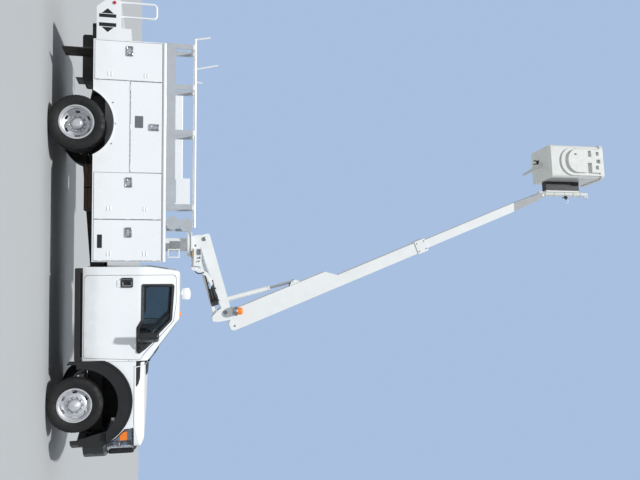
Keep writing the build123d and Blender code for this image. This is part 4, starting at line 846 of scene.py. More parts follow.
@dataclass
class ServiceBody:
    """Latches, vents, blank plates, marking and hinges of the locker body."""

    skin: float = 1198.0
    doors: dict[str, tuple[float, float, float, float]] = field(default_factory=lambda: {
        "rear": (-1231, -640, 655, 1640), "upper": (-640, 735, 1170, 1640),
        "middle": (735, 1435, 655, 1640), "front": (1435, 2053, 655, 1640)})
    latches: dict[str, Corner] = field(default_factory=lambda: {
        "rear": (-1084, 1160, 0), "upper": (47, 1523, 1), "middle": (882, 1160, 0), "front": (1627, 1160, 0)})
    vents: dict[str, float] = field(default_factory=lambda: {"rear": -733, "middle": 1275, "front": 1943})

    def latch(self, name: str, hand: Hand) -> None:
        """Build a stainless paddle latch: a raised rim round a dish, and a paddle in it."""
        x, z, upright = self.latches[name]
        wide, high = (100, 150) if upright else (150, 100)
        s, skin = hand.value, self.skin
        outer = box_corners((x - wide / 2, x + wide / 2), (z - high / 2, z + high / 2), 14)
        mesh = bmesh.new()
        rings = []
        for gap, out in ((0, 0), (0, 12), (5, 19), (12, 19), (16, 11.5)):
            rings.append([Plane.SIDE.lift(a, b, s * (skin + out)) for a, b in rounded(inset(outer, gap))])
        sweep_rings(mesh, rings)
        body = f"locker_{name}_{hand.word}"
        finish_piece(from_bmesh(f"latch_dish_{name}_{hand.word}", mesh), LATCH_STEEL, body, bevel=0.8)
        grip = bmesh.new()
        span = (x - 44, x + 44) if not upright else (x - 30, x + 30)
        drop = (z - 26, z + 14) if not upright else (z - 48, z + 12)
        add_prism(grip, Plane.SIDE, rounded(box_corners(span, drop, 10)), s * (skin + 11), s * (skin + 17))
        add_prism(grip, Plane.SIDE, rounded(box_corners(span, (drop[0], drop[0] + 12), 5)), s * (skin + 11),
                  s * (skin + 26))
        add_round(grip, Plane.SIDE.lift(x, drop[1] + 14, s * (skin + 10)),
                  Plane.SIDE.lift(x, drop[1] + 14, s * (skin + 19)), ((0, 9), (0.8, 9), (1, 7.5)), 16)
        finish_piece(from_bmesh(f"latch_paddle_{name}_{hand.word}", grip), CHROME, body, bevel=1.5)

    def vent_pair(self, name: str, hand: Hand) -> None:
        """Build the pressed vents of a door: two hooded slots high up and two low down."""
        x, s = self.vents[name], hand.value
        mesh = bmesh.new()
        for z in (1424, 1382, 905, 860):
            rings = []
            for a in (-38, -34, 34, 38):
                lift = 9 if abs(a) == 34 else 1
                rings.append([Plane.SIDE.lift(x + a, z + b, s * (self.skin - 1 + out))
                              for b, out in ((-8, 0), (-7, lift), (2, lift * 0.8), (9, 0))])
            sweep_rings(mesh, rings)
        finish_piece(from_bmesh(f"vents_{name}_{hand.word}", mesh), ENAMEL, f"locker_{name}_{hand.word}")

    def plates(self, hand: Hand) -> None:
        """Build the two blank plates that are riveted to the doors."""
        s = hand.value
        for name, xs, zs, kind in (("upper", (-119, 61), (1240, 1362), PLATE_GREY),
                                   ("front", (1660, 1860), (715, 785), DARK_SHEET)):
            mesh = bmesh.new()
            add_prism(mesh, Plane.SIDE, rounded(box_corners(xs, zs, 8)), s * self.skin, s * (self.skin + 2))
            for x in (xs[0] + 9, xs[1] - 9):
                for z in (zs[0] + 9, zs[1] - 9):
                    add_round(mesh, Plane.SIDE.lift(x, z, s * (self.skin + 1)),
                              Plane.SIDE.lift(x, z, s * (self.skin + 4.5)), ((0, 4.5), (0.6, 4), (1, 2)), 10)
            finish_piece(from_bmesh(f"blank_plate_{name}_{hand.word}", mesh), kind,
                         f"locker_{name}_{hand.word}",
                         bevel=0.6)

    def hinges(self, hand: Hand) -> None:
        """Run a zinc hinge pin along the front edge of each upright door and under the upper door."""
        s = hand.value
        mesh = bmesh.new()
        for x in (-640, 1435, 2053):
            for k in range(12):
                low = 668 + k * 80
                add_round(mesh, at(x, s * (self.skin - 5), low), at(x, s * (self.skin - 5), low + 74),
                          ((0, 4.4), (0.02, 5.2), (0.98, 5.2), (1, 4.4)), 10)
        for k in range(17):
            low = -628 + k * 80
            add_round(mesh, at(low, s * (self.skin - 5), 1170), at(low + 74, s * (self.skin - 5), 1170),
                      ((0, 4.4), (0.02, 5.2), (0.98, 5.2), (1, 4.4)), 10)
        finish_piece(from_bmesh(f"hinge_pins_{hand.word}", mesh), ZINC, "chassis")

    def marking(self, hand: Hand) -> None:
        """Lay the black bars and arrow heads of the warning film on the shelf's side."""
        s = hand.value
        mesh = bmesh.new()
        low, high = 714, 960
        mid = (low + high) / 2
        shapes = ([(-1709, mid), (-1633, low + 35), (-1633, high - 35)],
                  [(-1624, low), (-1572, low), (-1572, high), (-1624, high)],
                  [(-1491, low), (-1436, low), (-1436, high), (-1491, high)],
                  [(-1351, mid), (-1427, high - 35), (-1427, low + 35)])
        for shape in shapes:
            add_prism(mesh, Plane.SIDE, shape, s * 1193.5, s * 1195)
        finish_piece(from_bmesh(f"warning_film_{hand.word}", mesh), BLACK_MARK, "chassis", smooth=False)

    def arch_marks(self, hand: Hand) -> None:
        """Set the three small studs above the wheel arch."""
        s = hand.value
        mesh = bmesh.new()
        for x, z in ((-305, 925), (10, 960), (310, 905)):
            add_round(mesh, at(x, s * 1192, z), at(x, s * 1205, z), ((0, 11), (0.6, 11), (1, 6)), 12)
        finish_piece(from_bmesh(f"arch_studs_{hand.word}", mesh), ZINC, "chassis")

    def build(self) -> None:
        """Make the service body's pieces on both sides."""
        for hand in Hand:
            for name in self.doors:
                self.latch(name, hand)
            for name in self.vents:
                self.vent_pair(name, hand)
            self.plates(hand)
            self.hinges(hand)
            self.marking(hand)
            self.arch_marks(hand)


# Cab details

@dataclass
class Cab:
    """Window rubbers, handles, mirrors, wipers, work lamp, vents and seats of the cab."""

    half: float = 1014.0
    belt: float = 1340.0
    lean: float = (1014.0 - 868.0) / (1920.0 - 1340.0)
    window: tuple[Corner, ...] = ((2408, 1360, 25), (2950, 1356, 60), (3063, 1289, 60), (3432, 1292, 25),
                                  (3398, 1380, 10), (2965, 1806, 60), (2413, 1842, 40))
    screen: tuple[Corner, ...] = ((-880, 1545, 60), (880, 1545, 60), (790, 1872, 60), (-790, 1872, 60))
    mirror_at: Point2 = (3285.0, 1118.0)
    mirror_turn: float = 22.0

    def skin(self, z: float) -> float:
        """Return how far out the door's skin is at a height."""
        return self.half - max(0.0, z - self.belt) * self.lean

    def slope(self, y: float, z: float, lift: float = 0.0) -> Vector:
        """Return the point of the bowed windscreen at y and z, lifted off it by some millimetres."""
        x = 3560 - (z - 1518) * 1.352 - y * y / 10426
        return at(x + 0.5947 * lift, y, z + 0.804 * lift)

    def window_rubber(self, hand: Hand) -> None:
        """Build the black rubber round the door's window."""
        s = hand.value
        rings = []
        for gap, deep in ((-8, 0.5), (-8, -3), (26, -3), (38, 8), (38, 23), (2, 23), (2, 0.5)):
            rings.append([at(x, s * (self.skin(z) - deep), z)
                          for x, z in rounded(inset(self.window, gap), 6)])
        mesh = bmesh.new()
        sweep_rings(mesh, rings, closed=True)
        finish_piece(from_bmesh(f"window_rubber_{hand.word}", mesh), SEAL, f"cab_door_{hand.word}")

    def panes(self) -> None:
        """Build the bonded windscreen, bowed and flush with the skin, and the flat rear window."""
        mesh = bmesh.new()
        faces = []
        for lift in (1.0, -5.0):
            rows = []
            for j in range(15):
                z = 1549 + 319 * j / 14
                edge = min(z - 1547, 1870 - z)
                cut = 60 - math.sqrt(max(0.0, 3600 - (60 - edge) ** 2)) if edge < 60 else 0.0
                half = 880 - (z - 1545) * 90 / 327 - 3 - cut
                rows.append([mesh.verts.new(self.slope(half * (2 * i / 24 - 1), z, lift)) for i in range(25)])
            faces.append(rows)
        for rows in faces:
            for low, high in zip(rows, rows[1:]):
                for i in range(24):
                    mesh.faces.new((low[i], low[i + 1], high[i + 1], high[i]))
        top, under = faces
        rim = [*top[0][:-1], *[row[-1] for row in top[:-1]], *reversed(top[-1][1:]),
               *[row[0] for row in reversed(top[1:])]]
        base = [*under[0][:-1], *[row[-1] for row in under[:-1]], *reversed(under[-1][1:]),
                *[row[0] for row in reversed(under[1:])]]
        for i, vert in enumerate(rim):
            j = (i + 1) % len(rim)
            mesh.faces.new((vert, rim[j], base[j], base[i]))
        corners = [(-596, 1424, 60), (596, 1424, 60), (556, 1756, 60), (-556, 1756, 60)]
        rings = []
        for deep in (14.0, 21.0):
            rings.append([at(self.back(z, deep), y, z) for y, z in rounded(corners, 6)])
        sweep_rings(mesh, rings)
        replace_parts(finish_piece(from_bmesh("cab_panes", mesh), TINTED, "chassis"), "cab_glass")

    def back(self, z: float, deep: float) -> float:
        """Return x of the cab's rear wall at a height, some millimetres inside its skin."""
        return 2142 + deep + max(0.0, z - 1480) * 73 / 470

    def screen_rubber(self) -> None:
        """Build the black band round the windscreen."""
        rings = []
        for gap, deep in ((-9, 0.5), (-9, -4), (40, -4), (46, -1.4), (46, 0.2), (4, 0.4)):
            outline = rounded(inset(self.screen, gap), 6)
            dense = []
            for (y0, z0), (y1, z1) in zip(outline, [*outline[1:], outline[0]]):
                count = 12 if abs(y1 - y0) > 400 else 1
                dense += [(y0 + (y1 - y0) * k / count, z0 + (z1 - z0) * k / count) for k in range(count)]
            rings.append([self.slope(y, z, -deep) for y, z in dense])
        mesh = bmesh.new()
        sweep_rings(mesh, rings, closed=True)
        finish_piece(from_bmesh("windscreen_rubber", mesh), SEAL, "chassis")

    def handle(self, hand: Hand) -> None:
        """Build the black pull handle over the door's moulded frame, and the lock's plate under it."""
        s = hand.value
        body = f"cab_door_{hand.word}"
        outer = box_corners((2306, 2453), (1056, 1228), 18)
        mesh = bmesh.new()
        rings = []
        for gap, out in ((0, -6), (0, 20), (6, 26), (22, 26), (30, 6), (44, 3)):
            rings.append([at(x, s * (self.half + out), z) for x, z in rounded(inset(outer, gap))])
        sweep_rings(mesh, rings)
        finish_piece(from_bmesh(f"handle_frame_{hand.word}", mesh), MOULDED, body, bevel=1.5)
        grip = bmesh.new()
        add_prism(grip, Plane.SIDE, rounded(box_corners((2330, 2372), (1078, 1206), 16)), s * (self.half + 2),
                  s * (self.half + 25))
        finish_piece(from_bmesh(f"handle_grip_{hand.word}", grip), MIRROR_SHELL, body, bevel=5, segments=3)
        plate = bmesh.new()
        rings = []
        for gap, out in ((0, -3), (0, 5), (4, 8), (16, 8)):
            rings.append([at(x, s * (self.half + out), z)
                          for x, z in rounded(inset(box_corners((2338, 2447), (993, 1050), 14), gap))])
        sweep_rings(plate, rings)
        add_round(plate, at(2392, s * (self.half + 6), 1021), at(2392, s * (self.half + 13), 1021),
                  ((0, 15), (0.7, 15), (1, 12)), 20)
        finish_piece(from_bmesh(f"lock_plate_{hand.word}", plate), ENAMEL, body, bevel=1)

    def fender(self, s: int, x: float, z: float, lift: float) -> Vector:
        """Return a point over the fender's sloping crown, lifted off it by some millimetres."""
        y = min(self.half, 1040 - (z - 1255) * 1.3946)
        return at(x, s * (y + 0.583 * lift), z + 0.813 * lift)

    def wedge(self, hand: Hand) -> None:
        """Build the black wedge vent across the cowl and the hood's flank, left blank."""
        s = hand.value
        parts = (("cowl", "chassis", [(3566, 1281, 4), (3642, 1281, 4), (3642, 1344, 4), (3566, 1347, 4)]),
                 ("hood", "hood_lid", [(3660, 1281, 4), (3958, 1281, 6), (3915, 1317, 10), (3835, 1338, 20),
                                       (3660, 1343, 4)]))
        for name, body, corners in parts:
            mesh = bmesh.new()
            rings = []
            for gap, lift in ((0, -6), (0, 5), (4, 9), (11, 9), (14, 5)):
                rings.append([self.fender(s, x, z, lift) for x, z in rounded(inset(corners, gap))])
            sweep_rings(mesh, rings)
            finish_piece(from_bmesh(f"wedge_vent_{name}_{hand.word}", mesh), MOULDED, body, bevel=1)

    def cowl(self) -> None:
        """Build the louvred black strip between the hood and the windscreen."""
        mesh = bmesh.new()
        rings = []
        for k in range(33):
            y = -816 + 51 * k
            base = min(1452.0, 1466 - 64 * (y / 835) ** 2)
            rings.append([at(x, y, base + dz)
                          for x, dz in ((3565, -5), (3565, 14), (3574, 17), (3632, 8), (3641, 2),
                                        (3641, -5))])
        sweep_rings(mesh, rings)
        for k in range(15):
            y = -700 + 100 * k
            base = min(1452.0, 1466 - 64 * (y / 835) ** 2)
            slot = [(3580, base + 17), (3622, base + 11.5), (3622, base + 15), (3581, base + 22)]
            add_prism(mesh, Plane.SIDE, slot, y - 38, y + 38)
        finish_piece(from_bmesh("cowl_louvre", mesh), MOULDED, "chassis", bevel=1)
        seal = bmesh.new()
        rings = []
        for k in range(31):
            y = -690 + 46 * k
            ring = []
            for x, dz in ((3660, -4), (3660, 9), (3666, 13), (3800, 9), (3832, 3), (3836, -4)):
                ring.append(at(x, y, min(1452 - (x - 3652) * 0.0328, 1466 - 64 * (y / 835) ** 2) + dz))
            rings.append(ring)
        sweep_rings(seal, rings)
        finish_piece(from_bmesh("hood_cowl_cover", seal), MOULDED, "hood_lid", bevel=1)

    def wipers(self) -> None:
        """Build two wipers parked along the foot of the windscreen."""
        mesh = bmesh.new()
        for y in (-640, 60):
            foot = at(3602, y, 1466)
            add_round(mesh, foot - Vector((0, 0, 0.02)), foot + Vector((0, 0, 0.022)),
                      ((0, 18), (0.8, 18), (1, 11)), 16)
            heel, tip = self.slope(y + 40, 1545, 16), self.slope(y + 330, 1602, 16)
            add_pipe(mesh, smooth_line([foot + Vector((0, 0, 0.012)), at(3578, y + 14, 1492), heel, tip], 4),
                     6.5)
            blade = [self.slope(y + across, 1567 + across * 0.12, 7) for across in (10, 170, 330, 490, 650)]
            add_pipe(mesh, blade, 7)
        finish_piece(from_bmesh("wipers", mesh), DARK_SHEET, "chassis")

    def mirror_point(self, s: int, across: float, up: float, depth: float) -> Vector:
        """Return a point of the turned mirror head: across its face, up, and forward of its front."""
        c, t = math.cos(math.radians(self.mirror_turn)), math.sin(math.radians(self.mirror_turn))
        x, y = self.mirror_at
        return at(x + depth * c - across * t, s * (y + depth * t + across * c), up)

    def mirror(self, hand: Hand) -> None:
        """Build the mirror's moulded shell with its glass, on a foot plate and two arms."""
        s, body = hand.value, f"cab_door_{hand.word}"
        outer = box_corners((-10, 220), (1306, 1618), 40)
        mesh = bmesh.new()
        rings = []
        for depth, gap in ((-92, 16), (-99, 13), (-100, 4), (-94, 0), (-40, 1), (-22, 7), (-8, 22), (-1, 48),
                           (0, 80)):
            rings.append([self.mirror_point(s, a, b, depth) for a, b in rounded(inset(outer, gap), 6)])
        sweep_rings(mesh, rings)
        for up in (1352, 1540):
            root = at(3352 - (up - 1352) * 0.42, s * (self.skin(up) + 4), up - 8)
            add_pipe(mesh, smooth_line([root, root + Vector((0, s * 0.06, 0.006)),
                                        self.mirror_point(s, 30, up + 6, -34)], 5), 17)
        foot = [(3244, 1296, 20), (3436, 1292, 20), (3452, 1330, 20), (3390, 1418, 30), (3264, 1560, 20),
                (3230, 1550, 20)]
        rings = []
        for gap, out in ((0, -2), (0, 16), (5, 22), (16, 26), (30, 27)):
            rings.append([at(x, s * (self.skin(z) + out), z) for x, z in rounded(inset(foot, gap))])
        sweep_rings(mesh, rings)
        shell = finish_piece(from_bmesh(f"mirror_shell_{hand.word}", mesh), MIRROR_SHELL, body)
        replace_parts(shell, f"mirror_{hand.word}")
        glass = bmesh.new()
        rings = []
        for depth, gap in ((-91, 20), (-94.5, 20), (-95, 22)):
            rings.append([self.mirror_point(s, a, b, depth) for a, b in rounded(inset(outer, gap), 6)])
        sweep_rings(glass, rings)
        finish_piece(from_bmesh(f"mirror_glass_{hand.word}", glass), MIRROR_GLASS, body)

    def work_lamp(self) -> None:
        """Build the rounded work lamp over its solid on the roof, with a mirror-glass lens."""
        start, end = at(2486, -500, 2036), at(2668, -500, 2036)
        mesh = bmesh.new()
        add_round(mesh, start, end, ((0, 24), (0.03, 40), (0.1, 56), (0.22, 69), (0.4, 77), (0.62, 78),
                                     (0.82, 72), (0.92, 66), (0.97, 63), (1, 60), (1, 52), (0.97, 50)), 36)
        add_round(mesh, at(2575, -500, 1968), at(2575, -500, 2000), ((0, 62), (0.4, 58), (1, 47)), 28)
        finish_piece(from_bmesh("work_lamp_shell", mesh), ENAMEL, "chassis")
        lens = bmesh.new()
        add_round(lens, at(2662, -500, 2036), at(2670, -500, 2036), ((0, 51), (0.4, 51), (1, 45)), 36)
        finish_piece(from_bmesh("work_lamp_lens", lens), MIRROR_GLASS, "chassis")

    def seats(self) -> None:
        """Build the bench's two padded cushions and backs over their frames."""
        for name, y0, y1 in (("right", -815, -12), ("left", 12, 815)):
            for part, outline in (
                    ("cushion", [(2545, 1000), (2600, 1128), (2780, 1124), (2905, 1108), (2950, 1050),
                                 (2930, 985), (2700, 960)]),
                    ("back", [(2290, 1020), (2286, 1300), (2290, 1560), (2330, 1600), (2410, 1600),
                              (2440, 1540), (2520, 1300), (2600, 1110), (2520, 1040), (2400, 1010)])):
                mesh = bmesh.new()
                count = 14
                rings = []
                for k in range(count + 1):
                    share = k / count
                    bulge = 1 - 0.10 * abs(2 * share - 1) ** 6
                    channel = 0.985 if k % 3 == 0 and 0 < k < count else 1.0
                    cx = sum(p[0] for p in outline) / len(outline)
                    cz = sum(p[1] for p in outline) / len(outline)
                    rings.append([at(cx + (x - cx) * bulge * channel, y0 + (y1 - y0) * share,
                                     cz + (z - cz) * bulge * channel)
                                  for x, z in outline])
                sweep_rings(mesh, rings)
                obj = from_bmesh(f"seat_{part}_{name}", mesh)
                soft = obj.modifiers.new("soft", "SUBSURF")
                soft.levels = soft.render_levels = 2
                finish_piece(obj, SEAT_VINYL, "chassis")

    def build(self) -> None:
        """Make the cab's pieces."""
        for hand in Hand:
            self.window_rubber(hand)
            self.handle(hand)
            self.wedge(hand)
            self.mirror(hand)
        self.panes()
        self.screen_rubber()
        self.cowl()
        self.wipers()
        self.work_lamp()
        self.seats()


# Lamps of the nose

@dataclass
class Nose:
    """The headlamps: clear covers that follow the rounded corners, with bowls and indicators inside."""

    plan: tuple[Corner, ...] = ((3564, 1014, 0), (4560, 1014, 700), (4850, 925, 90), (4995, 600, 200),
                                (5045, 250, 200), (5045, -250, 200), (4995, -600, 200), (4850, -925, 90),
                                (4560, -1014, 700), (3564, -1014, 0))
    rear_edge: tuple[Point2, ...] = ((858, 4805), (995, 4728), (1130, 4588), (1250, 4570))
    inner_y: float = 606.0

    def edge_x(self, z: float) -> float:
        """Return x of the lamp opening's rear edge at a height."""
        for (z0, x0), (z1, x1) in zip(self.rear_edge, self.rear_edge[1:]):
            if z <= z1:
                return x0 + (x1 - x0) * max(0.0, z - z0) / (z1 - z0)
        return self.rear_edge[-1][1]

    def curve(self, gap: float, start_x: float, end_x: float | None, count: int = 16) -> list[Point2]:
        """Return points along the nose's plan outline, drawn in by a gap.

        Args:
            gap: The distance inside the outer skin.
            start_x: x where the line starts, on the side.
            end_x: x where it ends, or None for the lamp's inner edge at the front.
            count: Number of points.

        Returns:
            Even points from the side towards the front.
        """
        corners = [(x - gap * 0.5 if i in (0, 9) else x, y, r) for i, (x, y, r) in enumerate(self.plan)]
        line = [p for p in rounded(inset(corners, gap), 10) if p[1] > 200 and p[0] > 3700]
        line.insert(0, (3700.0, 1014.0 - gap))
        fine = []
        for (x0, y0), (x1, y1) in zip(line, line[1:]):
            steps = max(1, int(math.hypot(x1 - x0, y1 - y0) / 4))
            fine += [(x0 + (x1 - x0) * k / steps, y0 + (y1 - y0) * k / steps) for k in range(steps)]
        kept = [p for p in fine if p[0] >= start_x and (p[0] <= end_x if end_x else p[1] >= self.inner_y)]
        last = len(kept) - 1
        return [kept[round(last * k / (count - 1))] for k in range(count)]

    def band(self, mesh: bmesh.types.BMesh, s: int, gaps: Point2, levels: Sequence[float], start: float = 0.0,
             end_x: float | None = None, shift: float = 0.0) -> None:
        """Add a thin wall that follows the corner between two gaps.

        Args:
            mesh: The bmesh to add to.
            s: The side's sign.
            gaps: Outer and inner distance under the skin.
            levels: Heights of its rows.
            start: Least x of its rear edge.
            end_x: x of its front edge, or None for the lamp's inner edge.
            shift: How far its rear edge is drawn in from the opening's.
        """
        rings = []
        for z in levels:
            first = max(start, self.edge_x(z) + shift)
            outer = self.curve(gaps[0], first, end_x)
            inner = self.curve(gaps[1], first, end_x)
            rings.append([at(x, s * y, z) for x, y in [*outer, *reversed(inner)]])
        sweep_rings(mesh, rings)

    def bowls(self, mesh: bmesh.types.BMesh, s: int) -> None:
        """Add the two plated bowls of a lamp, facing out square to the cover."""
        for z, radius in ((1130, 84), (965, 74)):
            lip = at(4886, s * 779, z)
            back = lip - Vector((0.913, s * 0.407, 0)) * 0.075
            add_round(mesh, back, lip, ((0, 26), (0.3, radius * 0.72), (0.7, radius * 0.94), (1, radius + 4),
                                        (1, radius), (0.72, radius * 0.86), (0.36, radius * 0.62), (0.14, 20),
                                        (0.7, 17), (0.76, 8)), 36)

    def front_x(self, y: float) -> float:
        """Return x of the nose's face at y."""
        return 5045 - max(0.0, abs(y) - 250) * 50 / 350

    def surround(self) -> None:
        """Build the grille's deep black frame and its bars over the grille."""
        mesh = bmesh.new()
        outer = box_corners((-586, 586), (866, 1248), 50)
        rings = []
        for gap, out in ((2, 6), (0, 34), (6, 48), (46, 54), (62, 46), (66, 14)):
            dense = []
            outline = rounded(inset(outer, gap), 6)
            for (y0, z0), (y1, z1) in zip(outline, [*outline[1:], outline[0]]):
                count = 16 if abs(y1 - y0) > 400 else 1
                dense += [(y0 + (y1 - y0) * k / count, z0 + (z1 - z0) * k / count) for k in range(count)]
            rings.append([at(self.front_x(y) + out, y, z) for y, z in dense])
        sweep_rings(mesh, rings, closed=True)
        for z in (948, 1057, 1166):
            rings = []
            for k in range(23):
                y = -528 + 48 * k
                x = self.front_x(y)
                rings.append([at(x + out, y, z + up) for out,
                              up in ((13, -24), (34, -28), (44, -16), (46, 12), (34, 22),
                                                                     (13, 18))])
            sweep_rings(mesh, rings)
        finish_piece(from_bmesh("grille_surround", mesh), MOULDED, "chassis", bevel=2)

    def build(self) -> None:
        """Make the lamps on both sides and the grille's surround."""
        self.surround()
        levels = [858, 880, 930, 995, 1040, 1090, 1130, 1180, 1225, 1248]
        cover, housing, reflector, amber, trim = (bmesh.new() for _ in range(5))
        for hand in Hand:
            s = hand.value
            self.band(cover, s, (3, 7), levels)
            self.band(housing, s, (92, 96), levels, shift=26)
            self.bowls(reflector, s)
            self.band(amber, s, (0.6, 2.7), [1052, 1066, 1100, 1145, 1159], 4614, 4758, 8)
            self.band(trim, s, (8, 80), [1226, 1247])
            self.band(trim, s, (8, 80), [859, 872])
        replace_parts(finish_piece(from_bmesh("headlamp_covers", cover), CLEAR_LENS, "chassis"), "headlamps")
        finish_piece(from_bmesh("headlamp_housings", housing), LAMP_SILVER, "chassis")
        finish_piece(from_bmesh("headlamp_trims", trim), MOULDED, "chassis")
        finish_piece(from_bmesh("headlamp_bowls", reflector), CHROME_BOWL, "chassis")
        finish_piece(from_bmesh("headlamp_indicators", amber), AMBER_GLOW, "chassis")


# Lift gear details

@dataclass
class Lift:
    """Hoses, pin heads, covers, the bucket mount's painted shade and the beacon of the lift gear."""

    arm_foot: Point2 = (1690.0, 2345.0)
    arm_rise: float = math.atan2(355, 1230)
    boom_pin: Point2 = (2918.0, 2890.0)
    boom_turn: float = math.radians(111.8)
    bucket_at: Corner = (236.0, 0.0, 8660.0)
    bucket_turn: float = math.radians(-7)
    beacon_at: Corner = (2895.0, -206.0, 2855.0)

    def arm(self, a: float, b: float, y: float) -> Vector:
        """Return the point a along the arm from its foot pin and b square to it."""
        c, t = math.cos(self.arm_rise), math.sin(self.arm_rise)
        return at(self.arm_foot[0] + a * c - b * t, y, self.arm_foot[1] + a * t + b * c)

    def boom(self, a: float, b: float, y: float) -> Vector:
        """Return the point a along the boom from its pin and b towards its upper face."""
        c, t = math.cos(self.boom_turn), math.sin(self.boom_turn)
        return at(self.boom_pin[0] + a * c + b * t, y, self.boom_pin[1] + a * t - b * c)

    def tub(self, x: float, y: float, z: float) -> Vector:
        """Return a point of the turned bucket from its own middle and floor."""
        c, t = math.cos(self.bucket_turn), math.sin(self.bucket_turn)
        return at(self.bucket_at[0] + x * c - y * t, x * t + y * c, self.bucket_at[2] + z)

    def under_hoses(self) -> None:
        """Run the black hoses under the arm: they leave its near side and stop short of the elbow."""
        for k in range(8):
            y = -93 - 9 * (k % 3)
            low = k / 7
            start = [self.arm(561, -146, y), self.arm(717, -150, y)]
            if k < 6:
                start = [self.arm(700 + 26 * k, -52, -101), self.arm(770 + 16 * k, -64 - 12 * k, y)]
            mesh = bmesh.new()
            points = [*start, self.arm(900, -62 - 100 * low, y - 4), self.arm(990, -52 - 118 * low, y - 2),
                      self.arm(1066, -66 - 106 * low, -88), self.arm(1125, -70 - 92 * low, -88)]
            add_pipe(mesh, smooth_line(points), 11)
            finish_piece(from_bmesh(f"arm_hose_{k}", mesh), HOSE, "lower_arm")
        clamps = bmesh.new()
        for a, low, high in ((845, -142, -40), (1052, -182, -44)):
            corners = [self.arm(a + da, b, 0) for da, b in ((-11, low), (11, low), (11, high), (-11, high))]
            sweep_rings(clamps, [[Vector((p.x, y * MM, p.z)) for p in corners] for y in (-128, -123)])
            sweep_rings(clamps, [[Vector((p.x, y * MM, p.z)) for p in corners] for y in (-82, -79)])
            for b0, b1 in ((low - 4, low + 2), (high - 2, high + 4)):
                bar = [self.arm(a + da, b, 0) for da, b in ((-11, b0), (11, b0), (11, b1), (-11, b1))]
                sweep_rings(clamps, [[Vector((p.x, y * MM, p.z)) for p in bar] for y in (-128, -79)])
        finish_piece(from_bmesh("arm_hose_clamps", clamps), DARK_SHEET, "lower_arm")

    def hose_guide(self) -> None:
        """Build the curved white guide plate that rises from the turntable's front beside the arm."""
        corners = [(2150, 2138, 10), (2176, 2134, 10), (2203, 2146, 20), (2270, 2309, 60), (2303, 2376, 60),
                   (2404, 2426, 60), (2484, 2472, 10), (2437, 2492, 40), (2337, 2464, 80), (2253, 2405, 80),
                   (2196, 2309, 60), (2150, 2190, 20)]
        mesh = bmesh.new()
        add_prism(mesh, Plane.SIDE, rounded(corners, 6), -137, -130)
        for x, z in ((2165, 2162), (2180, 2190)):
            add_round(mesh, at(x, -120, z), at(x, -144, z), ((0, 9), (0.85, 9), (1, 7)), 12)
        finish_piece(from_bmesh("hose_guide", mesh), LIFT_ENAMEL, "turret", bevel=1.5)

    def slotted_cover(self) -> None:
        """Build the grey slotted cover over the pedestal's valve block."""
        mesh = bmesh.new()
        outer = box_corners((1729, 1850), (1776, 1960), 8)
        rings = []
        for gap, y in ((0, -262), (0, -338), (3, -341), (9, -341)):
            rings.append([at(x, y, z) for x, z in rounded(inset(outer, gap))])
        sweep_rings(mesh, rings)
        for k in range(6):
            x = 1744 + 17 * k
            add_prism(mesh, Plane.SIDE, rounded(box_corners((x, x + 9), (1792, 1944), 4), 3), -340, -347)
        finish_piece(from_bmesh("valve_cover", mesh), PANEL_GREY, "chassis", bevel=1)

    def loop_hose(self) -> None:
        """Run the thin bent hose at the front of the turntable."""
        mesh = bmesh.new()
        points = [at(2246, -156, 2343), at(2262, -160, 2290), at(2262, -160, 2240), at(2225, -156, 2192)]
        add_pipe(mesh, smooth_line(points), 9)
        finish_piece(from_bmesh("turntable_hose", mesh), HOSE, "turret")

    def turntable_fittings(self) -> None:
        """Build the grey control panel with its knobs, and the tan swing motor under the cover."""
        panel = bmesh.new()
        rings = []
        for gap, y in ((0, -188), (0, -197), (5, -200), (12, -200)):
            rings.append([at(x, y, z) for x, z in rounded(inset(box_corners((1854, 1958), (2221, 2297), 8),
                                                                gap))])
        sweep_rings(panel, rings)
        finish_piece(from_bmesh("swing_panel", panel), PANEL_GREY, "turret", bevel=1)
        knobs = bmesh.new()
        for x, z, r in ((1878, 2262, 8), (1906, 2262, 8), (1934, 2262, 8), (2001, 2268, 15),
                        (2060, 2255, 12)):
            add_round(knobs, at(x, -188, z), at(x, -222, z),
                      ((0, r * 0.5), (0.5, r * 0.5), (0.6, r), (0.9, r), (1, r * 0.6)),
                      16)
        finish_piece(from_bmesh("swing_knobs", knobs), DARK_SHEET, "turret")
        motor = bmesh.new()
        add_round(motor, at(1868, -172, 2148), at(1992, -172, 2148),
                  ((0, 16), (0.04, 22), (0.3, 22), (0.32, 24), (0.7, 24), (0.72, 21), (0.96, 21),
                   (1, 14)), 24)
        finish_piece(from_bmesh("swing_motor", motor), PRIMER_TAN, "turret")

